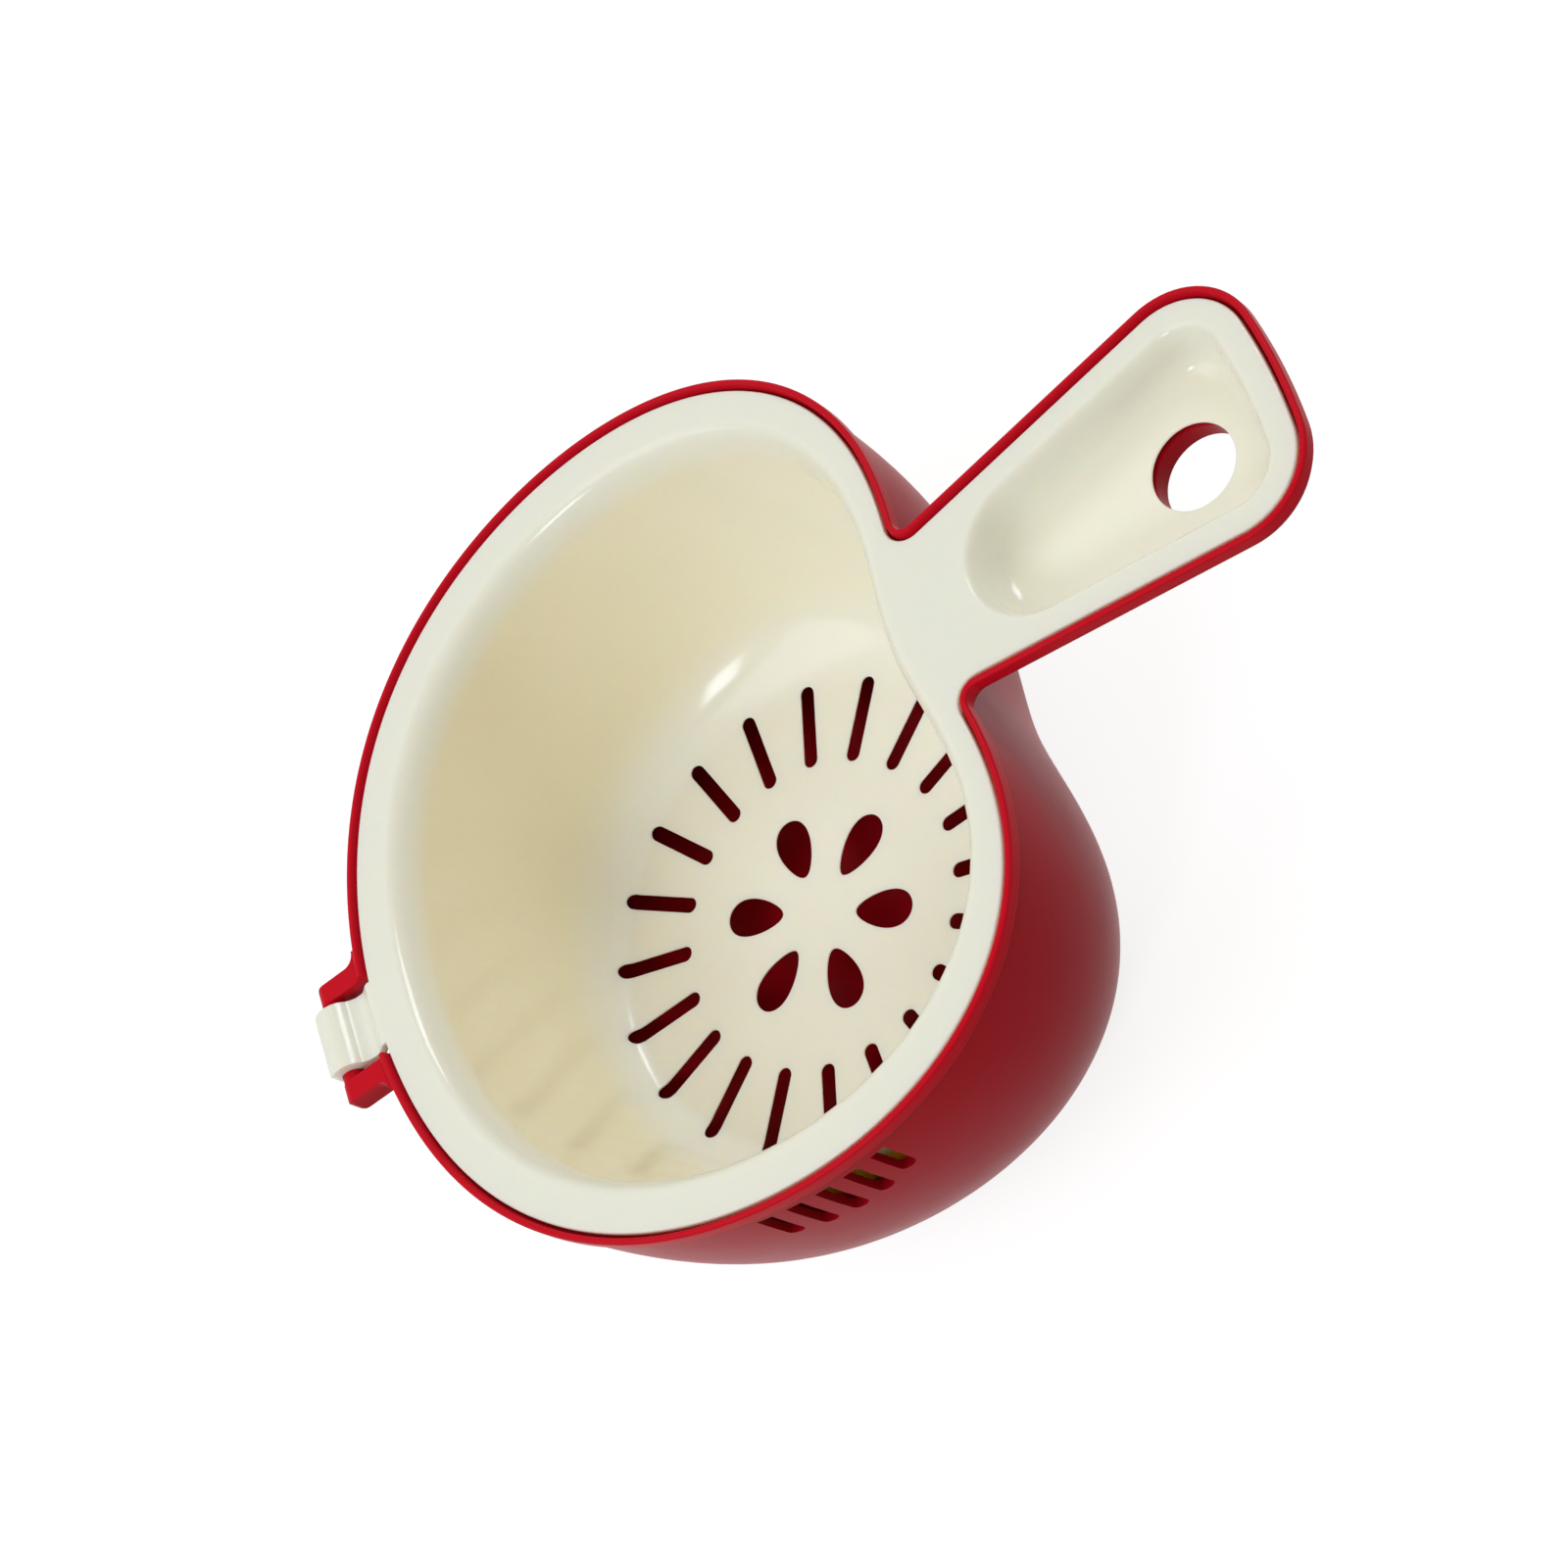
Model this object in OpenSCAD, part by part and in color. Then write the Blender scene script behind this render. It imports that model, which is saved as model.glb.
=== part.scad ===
// Apple-shaped draining basket in two layers: a perforated strainer that nests in a
// deeper bowl and flips up on a snap hinge. Both layers are injection mouldings with
// a handle, and both follow one apple outline, drawn by the polar rule in apple_r_at().
// Origin: centre of the flat base. +X points to the handles, +Z up, hinge on -X.

/* [Apple outline] */
// Mean radius of the strainer's flange edge
apple_r = 88.3; // [84:0.1:94]
// How much fuller the handle end is than the hinge end
apple_egg = 23.4; // [18:0.1:28]
// Lengthening of the outline along the handle
apple_oval = 5.9; // [3:0.1:9]
// Flattening of the hinge end and the cheeks
apple_cheek = 3; // [1:0.1:5]
// Depth of the stem dimple where the handle joins
dimple_depth = 54.3; // [46:0.1:60]
// Half-spread of the stem dimple, in degrees
dimple_spread = 41.8; // [36:0.1:46]

/* [Heights] */
// Top face of the strainer's flange above the base
flange_z = 70; // [64:0.5:80]
// Depth of the strainer, from the flange to its floor
strainer_depth = 59; // [50:0.5:60]

/* [Bowl] */
// Wall thickness of the bowl
bowl_wall = 2; // [1.6:0.1:3]
// Thickness of the bowl's floor
bowl_floor = 2; // [1.6:0.1:3]
// Size of the flat base as a share of the rim outline
base_ratio = 0.58; // [0.5:0.01:0.66]
// Fullness of the bowl's side, 2 being an ellipse
bowl_fullness = 2.35; // [2:0.05:2.8]

/* [Rim of the bowl] */
// Thickness of the lip that stands round the flange
lip_t = 1.7; // [1.4:0.1:2.4]
// Height of the lip above the flange
lip_rise = 0.8; // [0.4:0.1:1.4]
// Rounding of the lip's outer edges
lip_round = 0.7; // [0.3:0.05:0.8]
// Draft of the lip's inner face over its height, which lets the flange swing out
lip_draft = 0.6; // [0.3:0.05:0.7]
// Height of the rim band, from its lower edge to the top of the lip
band_h = 3.2; // [2.9:0.1:4]
// Thickness of the plate that carries the strainer's handle
ledge_t = 1.7; // [1.4:0.1:2.4]
// Step from the rim band back to the wall
band_step = 0.9; // [0.6:0.1:1.2]
// Gap between the flange edge and the lip
flange_gap = 0.4; // [0.3:0.05:0.6]
// Gap between the flange and the ledge
seat_gap = 0.1; // [0.05:0.05:0.2]

/* [Strainer] */
// Wall thickness of the strainer
strainer_wall = 1.8; // [1.4:0.1:2.4]
// Thickness of the flange and of the strainer's handle
flange_t = 1.8; // [1.4:0.1:2.4]
// Width of the flange, from its edge to the basket wall
flange_w = 11; // [8:0.5:13]
// Narrowing of the flange beside the stem
flange_relief = 5; // [0:0.5:6]
// Radius of the roll from the flange into the wall
mouth_roll = 4; // [2.5:0.5:5]
// Radius of the flat floor
floor_r = 43; // [38:0.5:46]
// Fullness of the basket wall, 2 being an ellipse
basket_fullness = 2.1; // [1.9:0.05:2.6]

/* [Floor pattern] */
// Number of radial slots in the floor
ray_count = 20; // [12:1:24]
// Width of a radial slot
ray_w = 2.7; // [2:0.1:3.5]
// Radius of the inner ends of the radial slots
ray_in = 32; // [28:0.5:36]
// Radius of the outer ends of the radial slots
ray_out = 48.3; // [44:0.1:51]
// Number of seed-shaped holes
seed_count = 6; // [5:1:7]
// Width of a seed-shaped hole
seed_w = 7.4; // [5:0.1:8]
// Radius of the tip circle of a seed
seed_tip_r = 1; // [0.7:0.1:1.6]
// Radius where the seeds start
seed_in = 9.6; // [8:0.2:12]
// Radius where the seeds end
seed_out = 22.4; // [20:0.2:25]

/* [Drain slots] */
// Number of drain slots in the bowl's side
drain_count = 5; // [3:2:7]
// Distance between the slots
drain_pitch = 6.3; // [5.5:0.1:7.5]
// Width of a drain slot
drain_w = 3.2; // [2.4:0.1:3.8]
// Length of the middle slot
drain_len = 13.8; // [9:0.1:16]
// Shortening of the next slots, growing with the square of the count
drain_fall = 0.6; // [0:0.05:0.9]
// Place of the middle slot along the bowl
drain_x = 8; // [0:0.5:15]
// Wall left between the rim band and the slots
drain_drop = 3; // [1:0.1:4]

/* [Handles] */
// Distance from the basket's axis to the end of the strainer's handle
handle_reach = 145.5; // [135:0.5:160]
// Width of the strainer's handle at its widest
handle_w = 50; // [44:0.5:56]
// Taper of each side of the handle, in degrees
handle_taper = 8.5; // [6:0.1:10]
// Radius of the slightly crowned handle end
handle_end_r = 120; // [100:5:200]
// Radius of the handle's end corners
handle_corner_r = 14; // [11:0.5:18]
// Radius of the fillets where the handle meets the apple
neck_fillet = 4.8; // [3.5:0.1:7]

/* [Thumb dish] */
// Start of the dish, from the basket's axis
dish_start = 80.6; // [78:0.2:88]
// Margin between the dish and the handle's edge
dish_margin = 6; // [5:0.5:8]
// Depth of the dish in the strainer's handle
dish_depth = 10.3; // [6:0.1:13]
// Radius of the roll round the dish
dish_roll = 2.4; // [1.5:0.1:3.5]
// Run of the dish wall inwards, from the edge to the flat floor
dish_run = 6.5; // [5:0.5:8]
// Side gap between the two dishes
dish_side_gap = 0.8; // [0.5:0.1:1.2]
// Gap under the strainer's dish
dish_under_gap = 3; // [1:0.1:4]
// Thickness of the bowl handle's dish floor
tray_floor = 2.2; // [1.8:0.1:3]

/* [Hanging hole] */
// Place of the hanging hole, from the basket's axis
hang_x = 123; // [112:0.5:126]
// Bore of the hanging hole in the bowl's handle
hang_d = 17.6; // [14:0.2:19]
// Bore of the hole in the strainer's handle
strainer_hang_d = 16.8; // [13:0.2:18]
// Wall of the collar round the hanging hole
collar_wall = 2; // [1.5:0.1:2.6]
// Gap between the collar and the strainer's handle
collar_gap = 0.4; // [0.3:0.05:0.8]

/* [Hinge] */
// Diameter of the hinge pin
pin_d = 4.7; // [4:0.1:5]
// Running clearance between pin and hook, on the radius
pin_fit = 0.08; // [0.04:0.01:0.1]
// Distance of the pin from the flange edge
pin_out = 10.7; // [10:0.1:12]
// Drop of the pin's axis below the flange
pin_drop = 3; // [2.6:0.1:3.4]
// Wall of the hook round the pin
hook_wall = 2.2; // [1.7:0.1:2.5]
// Width of the tongue and its hook
tongue_w = 14.2; // [11:0.1:18]
// Thickness of the tongue
tongue_t = 1.9; // [1.6:0.1:2.3]
// Dip of the tongue where it crosses the rim
tongue_dip = 1.8; // [1.4:0.1:2.2]
// Rounding of the hook's outer corners
hook_round = 3.2; // [1:0.1:4]
// Width of the hook's snap opening as a share of the pin
snap_share = 0.8; // [0.7:0.02:0.9]
// Side gap between the tongue and each lug
lug_gap = 1.9; // [1:0.1:2.5]
// Thickness of each lug
lug_t = 4.5; // [3.5:0.1:6]
// Height of the lugs, whose round nose has the same centre as the pin
lug_h = 5; // [4.9:0.1:6]
// Rounding of the lugs' outer corners, seen from above
lug_round = 1.8; // [0.6:0.1:2.4]
// Radius of the fillets where the lugs leave the rim
lug_flare = 2.6; // [1:0.1:3.5]
// Clearance under the tongue in the rim's notch
notch_gap = 0.5; // [0.3:0.05:1]

/* [Hidden] */
$fn = 64;

RED = "#a5142b";
CREAM = "#e3e1cf";

AROUND = 90;        // points round the strainer's basket
HALF = 43;          // steps of the apple outline from the neck to the hinge end
CUT = 40;           // reach of cutting solids past the part

lip_out = flange_gap + lip_t;
lip_top = flange_z + lip_rise;
ledge_top = flange_z - flange_t - seat_gap;
ledge_low = ledge_top - ledge_t;
band_low = lip_top - band_h;
wall_out = lip_out - band_step;
wall_in = wall_out - bowl_wall;
strainer_floor_z = flange_z - strainer_depth;
dish_floor_z = flange_z - dish_depth;
tray_side = flange_t + dish_side_gap;
tray_inner_z = dish_floor_z - flange_t - dish_under_gap;
hook_r = pin_d / 2 + pin_fit + hook_wall;
pin_x = -apple_r_at(180) - pin_out;
pin_z = flange_z - pin_drop;
lug_in = tongue_w / 2 + lug_gap;

// ---------------------------------------------------------------- outlines

// Polar radius of the flange edge at the angle a, in degrees from the handle
function apple_r_at(a) =
    apple_r + apple_egg * cos(a) + apple_oval * cos(2 * a) + apple_cheek * cos(3 * a)
    - dimple_depth * exp(-pow(a / dimple_spread, 2));

// Its change per radian
function apple_slope(a) =
    -apple_egg * sin(a) - 2 * apple_oval * sin(2 * a) - 3 * apple_cheek * sin(3 * a)
    + dimple_depth * exp(-pow(a / dimple_spread, 2)) * 2 * a / pow(dimple_spread, 2)
      * 180 / PI;

function dir(a) = [cos(a), sin(a)];
function apple_point(a) = apple_r_at(a) * dir(a);
function apple_tangent(a) =
    apple_slope(a) * dir(a) + apple_r_at(a) * dir(a + 90);
function apple_normal(a) =
    let (t = apple_tangent(a)) [t.y, -t.x] / norm(t);

// Point of the outline set out by t from the flange edge
function apple_at(a, t) = apple_point(a) + t * apple_normal(a);

function arc(c, r, a0, a1, n) = [for (i = [0 : n]) c + r * dir(a0 + (a1 - a0) * i / n)];

// Whole outline from a half that starts on the axis, and may end there
function whole(half, on_axis = false) =
    concat(half, [for (i = [len(half) - (on_axis ? 2 : 1) : -1 : 1])
        [half[i].x, -half[i].y]]);

// Corner circle of the handle, tangent to its crowned end and its tapered side
end_c = [handle_reach - handle_end_r, 0];
corner_y = handle_w / 2 - handle_corner_r;
corner_turn = asin(corner_y / (handle_end_r - handle_corner_r));
corner_c = end_c + (handle_end_r - handle_corner_r) * dir(corner_turn);
side_n = dir(90 + handle_taper);
side_off = side_n * corner_c + handle_corner_r;

// The neck fillet touches the handle's side and the apple: its angle on the apple
// comes from halving the interval until the fillet's centre sits one radius off
function fillet_c(a) = apple_at(a, neck_fillet);
function fillet_miss(a) = side_n * fillet_c(a) - side_off - neck_fillet;
function neck_angle(lo, hi, n) =
    n == 0 ? (lo + hi) / 2
    : let (mid = (lo + hi) / 2)
      fillet_miss(mid) > 0 ? neck_angle(lo, mid, n - 1) : neck_angle(mid, hi, n - 1);
neck_a = neck_angle(4, 40, 24);
neck_c = fillet_c(neck_a);
neck_n = apple_normal(neck_a);
neck_start = 270 + handle_taper;
neck_sweep = 180 + atan2(neck_n.y, neck_n.x) - neck_start;

// Half outline of the handle up to its neck, set out by t
function half_handle(t) = concat(
    arc(end_c, handle_end_r + t, 0, corner_turn, 3),
    arc(corner_c, handle_corner_r + t, corner_turn, 90 + handle_taper, 12),
    arc(neck_c, neck_fillet - t, neck_start, neck_start + neck_sweep * 7 / 8, 7));

// Half of the apple from the neck round to the hinge end, the same points in every outline
function half_apple(t) =
    [for (i = [0 : HALF]) apple_at(neck_a + (180 - neck_a) * i / HALF, t)];

// Outline of the apple, of the handle closed inside it, and of both together
function apple_ring(t) =
    whole(concat([for (i = [0 : 2]) apple_at(neck_a * i / 3, t)], half_apple(t)), true);
function handle_edge(t) =
    whole(concat(half_handle(t), [apple_at(neck_a, t), apple_point(neck_a) / 2]));
function edge(t) = whole(concat(half_handle(t), half_apple(t)), true);

// Outline of the thumb dish, set out by t; its nose is tangent to both sides
nose_x = (dish_start + side_off - dish_margin) / (1 - sin(handle_taper));
nose_r = nose_x - dish_start;
function half_dish(t) = concat(
    arc(end_c, handle_end_r - dish_margin + t, 0, corner_turn, 3),
    arc(corner_c, handle_corner_r - dish_margin + t, corner_turn, 90 + handle_taper, 7),
    arc([nose_x, 0], nose_r + t, 90 + handle_taper, 180, 9));
function dish_edge(t) = whole(half_dish(t), true);

// Opening of the basket: the flange edge moved in, less beside the stem
function mouth_r(a) =
    apple_r_at(a) - flange_w + flange_relief * exp(-pow(a / dimple_spread, 2));

// ---------------------------------------------------------------- lofts

function lift(pts, z) = [for (p = pts) [p.x, p.y, z]];
function grow(pts, k) = [for (p = pts) k * p];

// Closed skin through rings of equal length; each flat end is a fan about the hub,
// a point on the axis that sees the whole outline
module loft(rings, hub = 0) {
    n = len(rings[0]);
    last = len(rings) - 1;
    points = concat([for (r = rings, p = r) p],
                    [for (r = [rings[0], rings[last]]) [hub, 0, r[0].z]]);
    sides = [for (k = [0 : last - 1], i = [0 : n - 1])
        let (j = (i + 1) % n, a = k * n, b = a + n)
        each [[a + i, b + i, b + j], [a + i, b + j, a + j]]];
    ends = [for (i = [0 : n - 1])
        let (j = (i + 1) % n, top = last * n)
        each [[n * len(rings), i, j], [n * len(rings) + 1, top + j, top + i]]];
    polyhedron(points, concat(sides, ends), convexity = 6);
}

// Superellipse quarter: [share of the run, share of the rise] at the angle f
function swell(f, full) = [pow(sin(f), 2 / full), 1 - pow(cos(f), 2 / full)];

SWELL_STEPS = [0, 9, 18, 28, 39, 51, 64, 78];

// Rings of a bowl side that swells from a base outline to the rim outline
function side_rings(rim, z0, z1) =
    [for (f = SWELL_STEPS)
        let (s = swell(f, bowl_fullness))
        lift(grow(rim, base_ratio + (1 - base_ratio) * s[0]), z0 + (z1 - z0) * s[1])];

// ---------------------------------------------------------------- bowl

// Rings of the rim band and its lip: [set-out from the flange edge, height]
RIM_BAND = [[lip_out - lip_round / 2, band_low],
            [lip_out, band_low + lip_round / 2],
            [lip_out, lip_top - lip_round],
            [lip_out - lip_round * 0.3, lip_top - lip_round * 0.3],
            [lip_out - lip_round, lip_top]];

// Outer form of the bowl from the side ring number first up, still solid inside
module bowl_form(first = 0) {
    rim = apple_ring(wall_out);
    side = side_rings(rim, 0, flange_z);
    loft(concat(
        [for (i = [first : len(side) - 1]) side[i]],
        [lift(rim, band_low)],
        [for (r = RIM_BAND) lift(apple_ring(r[0]), r[1])]));
}

// Inside of the bowl
module bowl_cavity() {
    rim = apple_ring(wall_in);
    loft(concat(side_rings(rim, bowl_floor, flange_z), [lift(rim, lip_top + 1)]));
}

// Seat of the flange and handle, open at the top, its side drawn out by the draft
module seat_pocket() {
    loft([lift(edge(flange_gap), ledge_top),
          lift(edge(flange_gap + 2 * lip_draft), 2 * lip_top - ledge_top)]);
}

// Gap in the rim for the tongue
module rim_notch() {
    translate([pin_x, -lug_in, flange_z - tongue_dip - tongue_t - notch_gap])
        cube([pin_out + flange_w, 2 * lug_in, CUT]);
}

module drain_slot(len) {
    top = band_low - drain_drop;
    rotate([90, 0, 0]) linear_extrude(apple_r + CUT) {
        translate([-drain_w / 2, top - len + drain_w / 2])
            square([drain_w, len - drain_w / 2]);
        translate([0, top - len + drain_w / 2]) circle(d = drain_w, $fn = 24);
    }
}

module bowl() {
    color(RED) difference() {
        bowl_form();
        bowl_cavity();
        seat_pocket();
        rim_notch();
        for (i = [-(drain_count - 1) / 2 : (drain_count - 1) / 2])
            translate([drain_x + i * drain_pitch, 0, 0])
                drain_slot(drain_len - drain_fall * i * i);
    }
}

// ---------------------------------------------------------------- bowl handle

// Solid that fills the dish grown by t, from floor_z to top_z and on by over
module dish_solid(t, floor_z, top_z, over) {
    rise = top_z - floor_z;
    loft([lift(dish_edge(t - dish_run), floor_z),
          lift(dish_edge(t - dish_run * 0.78), floor_z + rise * 0.06),
          lift(dish_edge(t - dish_run * 0.6), floor_z + rise * 0.2),
          lift(dish_edge(t - dish_roll), top_z - dish_roll * 1.1),
          lift(dish_edge(t - dish_roll * 0.45), top_z - dish_roll * 0.3),
          lift(dish_edge(t), top_z),
          lift(dish_edge(t), top_z + over)], hang_x);
}

// Prism of the apple set out by t, which parts a handle from its basket
module apple_prism(t) {
    linear_extrude(2 * flange_z) polygon(apple_ring(t));
}

module bowl_handle() {
    tray = tray_side + tray_floor;
    color(RED) difference() {
        union() {
            loft(concat(
                [for (z = [ledge_low, band_low]) lift(handle_edge(wall_out), z)],
                [for (r = RIM_BAND) lift(handle_edge(r[0]), r[1])]), apple_r_at(0));
            dish_solid(tray, tray_inner_z - tray_floor, ledge_low + ledge_t / 4, ledge_t / 4);
        }
        seat_pocket();
        apple_prism(lip_out);
        difference() {
            dish_solid(tray_side, tray_inner_z, ledge_top + lip_rise / 2, lip_rise);
            translate([hang_x, 0, 0])
                cylinder(d = hang_d + 2 * collar_wall,
                         h = dish_floor_z - flange_t - collar_gap);
        }
        translate([hang_x, 0, 0]) cylinder(d = hang_d, h = CUT * 2);
    }
}

// ---------------------------------------------------------------- hinge

// Lugs that stand off the rim and carry the pin
module hinge_lugs() {
    color(RED) difference() {
        for (side = [0, 1]) mirror([0, side, 0])
            translate([pin_x, lug_in, pin_z]) lug();
        bowl_form(len(SWELL_STEPS) - 2);
    }
}

// One lug about the pin's axis: a bar with a round nose, its root flared into the rim
module lug() {
    nose = lug_h / 2;
    length = pin_out + flange_w / 2;
    root = pin_out - lip_out;
    side = lug_t + lug_flare;
    intersection() {
        translate([0, side, 0]) rotate([90, 0, 0]) linear_extrude(side) {
            circle(r = nose);
            translate([0, -nose]) square([length, lug_h]);
        }
        translate([0, 0, -nose]) linear_extrude(lug_h) polygon(concat(
            [[-nose, 0]],
            arc([lug_round - nose, lug_t - lug_round], lug_round, 180, 90, 6),
            arc([root - lug_flare, side], lug_flare, 270, 360, 8),
            [[length, side], [length, 0]]));
    }
}

module hinge_pin() {
    color(RED) translate([pin_x, lug_in, pin_z]) rotate([90, 0, 0])
        cylinder(d = pin_d, h = 2 * lug_in);
}

// Side view of the tongue: level with the flange, down across the rim, up to the hook
function tongue_top(x) =
    let (root = pin_x + pin_out,
         fall = min(1, max(0, (root - x) / (1.8 * tongue_t))),
         climb = min(1, max(0, 1 - (x - pin_x) / (1.4 * hook_r))),
         ease_f = (1 - cos(180 * fall)) / 2,
         ease_c = (1 - cos(180 * climb)) / 2)
    flange_z - tongue_dip * ease_f + (tongue_dip + pin_z + hook_r - flange_z) * ease_c;

module hook_profile() {
    root = pin_x + pin_out + flange_w / 2;
    steps = 24;
    xs = [for (i = [0 : steps]) root + (pin_x - root) * i / steps];
    polygon(concat([for (x = xs) [x, tongue_top(x)]],
                   [for (i = [steps : -1 : 0]) [xs[i], tongue_top(xs[i]) - tongue_t]]));
    translate([pin_x, pin_z]) circle(r = hook_r);
}

module hinge_hook() {
    opening = pin_d * snap_share;
    color(CREAM) difference() {
        intersection() {
            translate([0, tongue_w / 2, 0]) rotate([90, 0, 0])
                linear_extrude(tongue_w) hook_profile();
            linear_extrude(2 * flange_z) tongue_plan();
        }
        translate([pin_x, CUT, pin_z]) rotate([90, 0, 0])
            cylinder(r = pin_d / 2 + pin_fit, h = 2 * CUT);
        translate([pin_x - opening / 2, -CUT, pin_z - hook_r - 1])
            cube([opening, 2 * CUT, hook_r + 1]);
        apple_prism(0);
    }
}

// Plan of the tongue with its rounded outer corners
module tongue_plan() {
    tip = pin_x - hook_r;
    translate([tip + hook_round, -tongue_w / 2])
        square([CUT, tongue_w]);
    translate([tip, -tongue_w / 2 + hook_round])
        square([CUT, tongue_w - 2 * hook_round]);
    for (side = [-1, 1])
        translate([tip + hook_round, side * (tongue_w / 2 - hook_round)])
            circle(r = hook_round);
}

// ---------------------------------------------------------------- strainer

// Basket ring at the share s of the way from the floor circle to the mouth, grown by t
function basket_ring(s, t, z) =
    [for (i = [0 : AROUND - 1])
        let (a = -180 + 360 * i / AROUND, r = floor_r + (mouth_r(a) - floor_r) * s + t)
        [r * cos(a), r * sin(a), z]];

// Solid through the basket's skin, grown by t: mouth roll, wall and floor
module basket_form(t, floor_z, top_z, roll) {
    low = top_z - roll;
    loft(concat(
        [for (f = SWELL_STEPS)
            let (s = swell(f, basket_fullness))
            basket_ring(s[0], t * s[0], floor_z + (low - floor_z) * s[1])],
        [for (f = [0, 25, 50, 75, 90])
            basket_ring(1, t + roll * (1 - cos(f)), low + roll * sin(f))]));
}

// Teardrop between a round end of radius r1 at x1 and a tip of radius r2 at x2
module seed(x1, r1, x2, r2) {
    lean = acos((r1 - r2) / (x1 - x2));
    polygon(concat(arc([x1, 0], r1, -180 + lean, 180 - lean, 24),
                   arc([x2, 0], r2, 180 - lean, 180 + lean, 8)));
}

module floor_pattern() {
    for (i = [0 : ray_count - 1]) rotate(i * 360 / ray_count) {
        translate([ray_in + ray_w / 2, -ray_w / 2])
            square([ray_out - ray_in - ray_w, ray_w]);
        for (x = [ray_in + ray_w / 2, ray_out - ray_w / 2])
            translate([x, 0]) circle(d = ray_w, $fn = 24);
    }
    for (i = [0 : seed_count - 1]) rotate((i + 0.5) * 360 / seed_count)
        seed(seed_out - seed_w / 2, seed_w / 2, seed_in + seed_tip_r, seed_tip_r);
}

module strainer() {
    color(CREAM) difference() {
        union() {
            basket_form(strainer_wall, strainer_floor_z - strainer_wall,
                        flange_z - flange_t, mouth_roll);
            translate([0, 0, flange_z - flange_t])
                linear_extrude(flange_t) polygon(apple_ring(0));
        }
        basket_form(0, strainer_floor_z, flange_z, mouth_roll);
        translate([0, 0, strainer_floor_z - CUT / 2]) linear_extrude(CUT) floor_pattern();
    }
}

module strainer_handle() {
    color(CREAM) difference() {
        union() {
            translate([0, 0, flange_z - flange_t])
                linear_extrude(flange_t) polygon(handle_edge(0));
            dish_solid(flange_t, dish_floor_z - flange_t, flange_z - flange_t, flange_t / 2);
        }
        apple_prism(0);
        dish_solid(0, dish_floor_z, flange_z, lip_rise);
        translate([hang_x, 0, 0]) cylinder(d = strainer_hang_d, h = CUT * 2);
    }
}

bowl();
bowl_handle();
hinge_lugs();
hinge_pin();
strainer();
strainer_handle();
hinge_hook();
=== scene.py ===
import math

import bmesh
import bpy
from mathutils import Matrix, Vector
from mathutils.bvhtree import BVHTree


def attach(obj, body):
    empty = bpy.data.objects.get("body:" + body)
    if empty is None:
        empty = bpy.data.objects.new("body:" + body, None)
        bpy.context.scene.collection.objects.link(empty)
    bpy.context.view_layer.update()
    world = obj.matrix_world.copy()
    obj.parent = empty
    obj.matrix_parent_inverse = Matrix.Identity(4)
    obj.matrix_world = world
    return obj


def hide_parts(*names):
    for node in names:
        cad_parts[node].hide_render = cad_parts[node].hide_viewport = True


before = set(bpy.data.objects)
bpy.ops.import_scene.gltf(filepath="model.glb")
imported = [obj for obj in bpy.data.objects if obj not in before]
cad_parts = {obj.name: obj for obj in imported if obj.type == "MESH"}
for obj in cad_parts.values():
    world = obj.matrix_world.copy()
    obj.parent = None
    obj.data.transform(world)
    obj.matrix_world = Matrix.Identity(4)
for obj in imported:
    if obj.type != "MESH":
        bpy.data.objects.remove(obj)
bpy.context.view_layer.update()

# ---------------------------------------------------------------- bowl wall
# The outer bowl: a red polypropylene injection moulding with a wall of about 2 mm.
# Its side swells from a flat base to an apple-shaped rim, and it is moulded in one
# shot with the rim, the handle's tray and the hinge lugs that the next sections add.

MM = 0.001
FLANGE_Z = 70.0  # top face of the strainer's flange, the height both mouldings share
BOWL_FLOOR = 2.0
BOWL_WALL = 2.0
BOWL_BASE_SHARE = 0.58
BOWL_FULLNESS = 2.35
LIP_OUT = 2.1  # outer face of the rim's lip, set out from the flange edge
LIP_TOP = FLANGE_Z + 0.8
BAND_BITE = 0.2  # how far the wall runs up into the rim's band
CUT_PAST = 1.0  # how far a cutter runs past the face it leaves by
WALL_OUT = LIP_OUT - 0.9
WALL_IN = WALL_OUT - BOWL_WALL
APPLE = {
    "Radius": 88.3,
    "Egg": 23.4,
    "Oval": 5.9,
    "Cheek": 3.0,
    "Dimple": 54.3,
    "Dimple Spread": 41.8,
}


def feed(tree, socket, value):
    """Links a socket, or gives it a plain value."""
    if isinstance(value, bpy.types.NodeSocket):
        tree.links.new(value, socket)
    else:
        socket.default_value = value


def new_node(tree, kind, inputs, **settings):
    """A node with its settings and its named inputs."""
    node = tree.nodes.new(kind)
    for key, value in settings.items():
        setattr(node, key, value)
    for title, value in inputs.items():
        feed(tree, node.inputs[title], value)
    return node


def calc(tree, operation, *values):
    """One Math node, fed by sockets or by plain numbers."""
    node = new_node(tree, "ShaderNodeMath", {}, operation=operation)
    for socket, value in zip(node.inputs, values):
        feed(tree, socket, value)
    return node.outputs[0]


def chain(tree, operation, *values):
    """Several sockets or numbers taken together by one operation."""
    total = values[0]
    for value in values[1:]:
        total = calc(tree, operation, total, value)
    return total


def product(tree, *values):
    """The product of several sockets or numbers."""
    return chain(tree, "MULTIPLY", *values)


def total_of(tree, *values):
    """The sum of several sockets or numbers."""
    return chain(tree, "ADD", *values)


def length_of(tree, x, y):
    """Length of the way that has these two parts."""
    return calc(tree, "SQRT", total_of(tree, product(tree, x, x), product(tree, y, y)))


def vector_of(tree, x=0.0, y=0.0, z=0.0):
    """A vector from three sockets or numbers."""
    node = new_node(tree, "ShaderNodeCombineXYZ", {"X": x, "Y": y, "Z": z})
    return node.outputs["Vector"]


def floats(*titles):
    """A list of float sockets for a tree."""
    return [(title, "Float") for title in titles]


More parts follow.
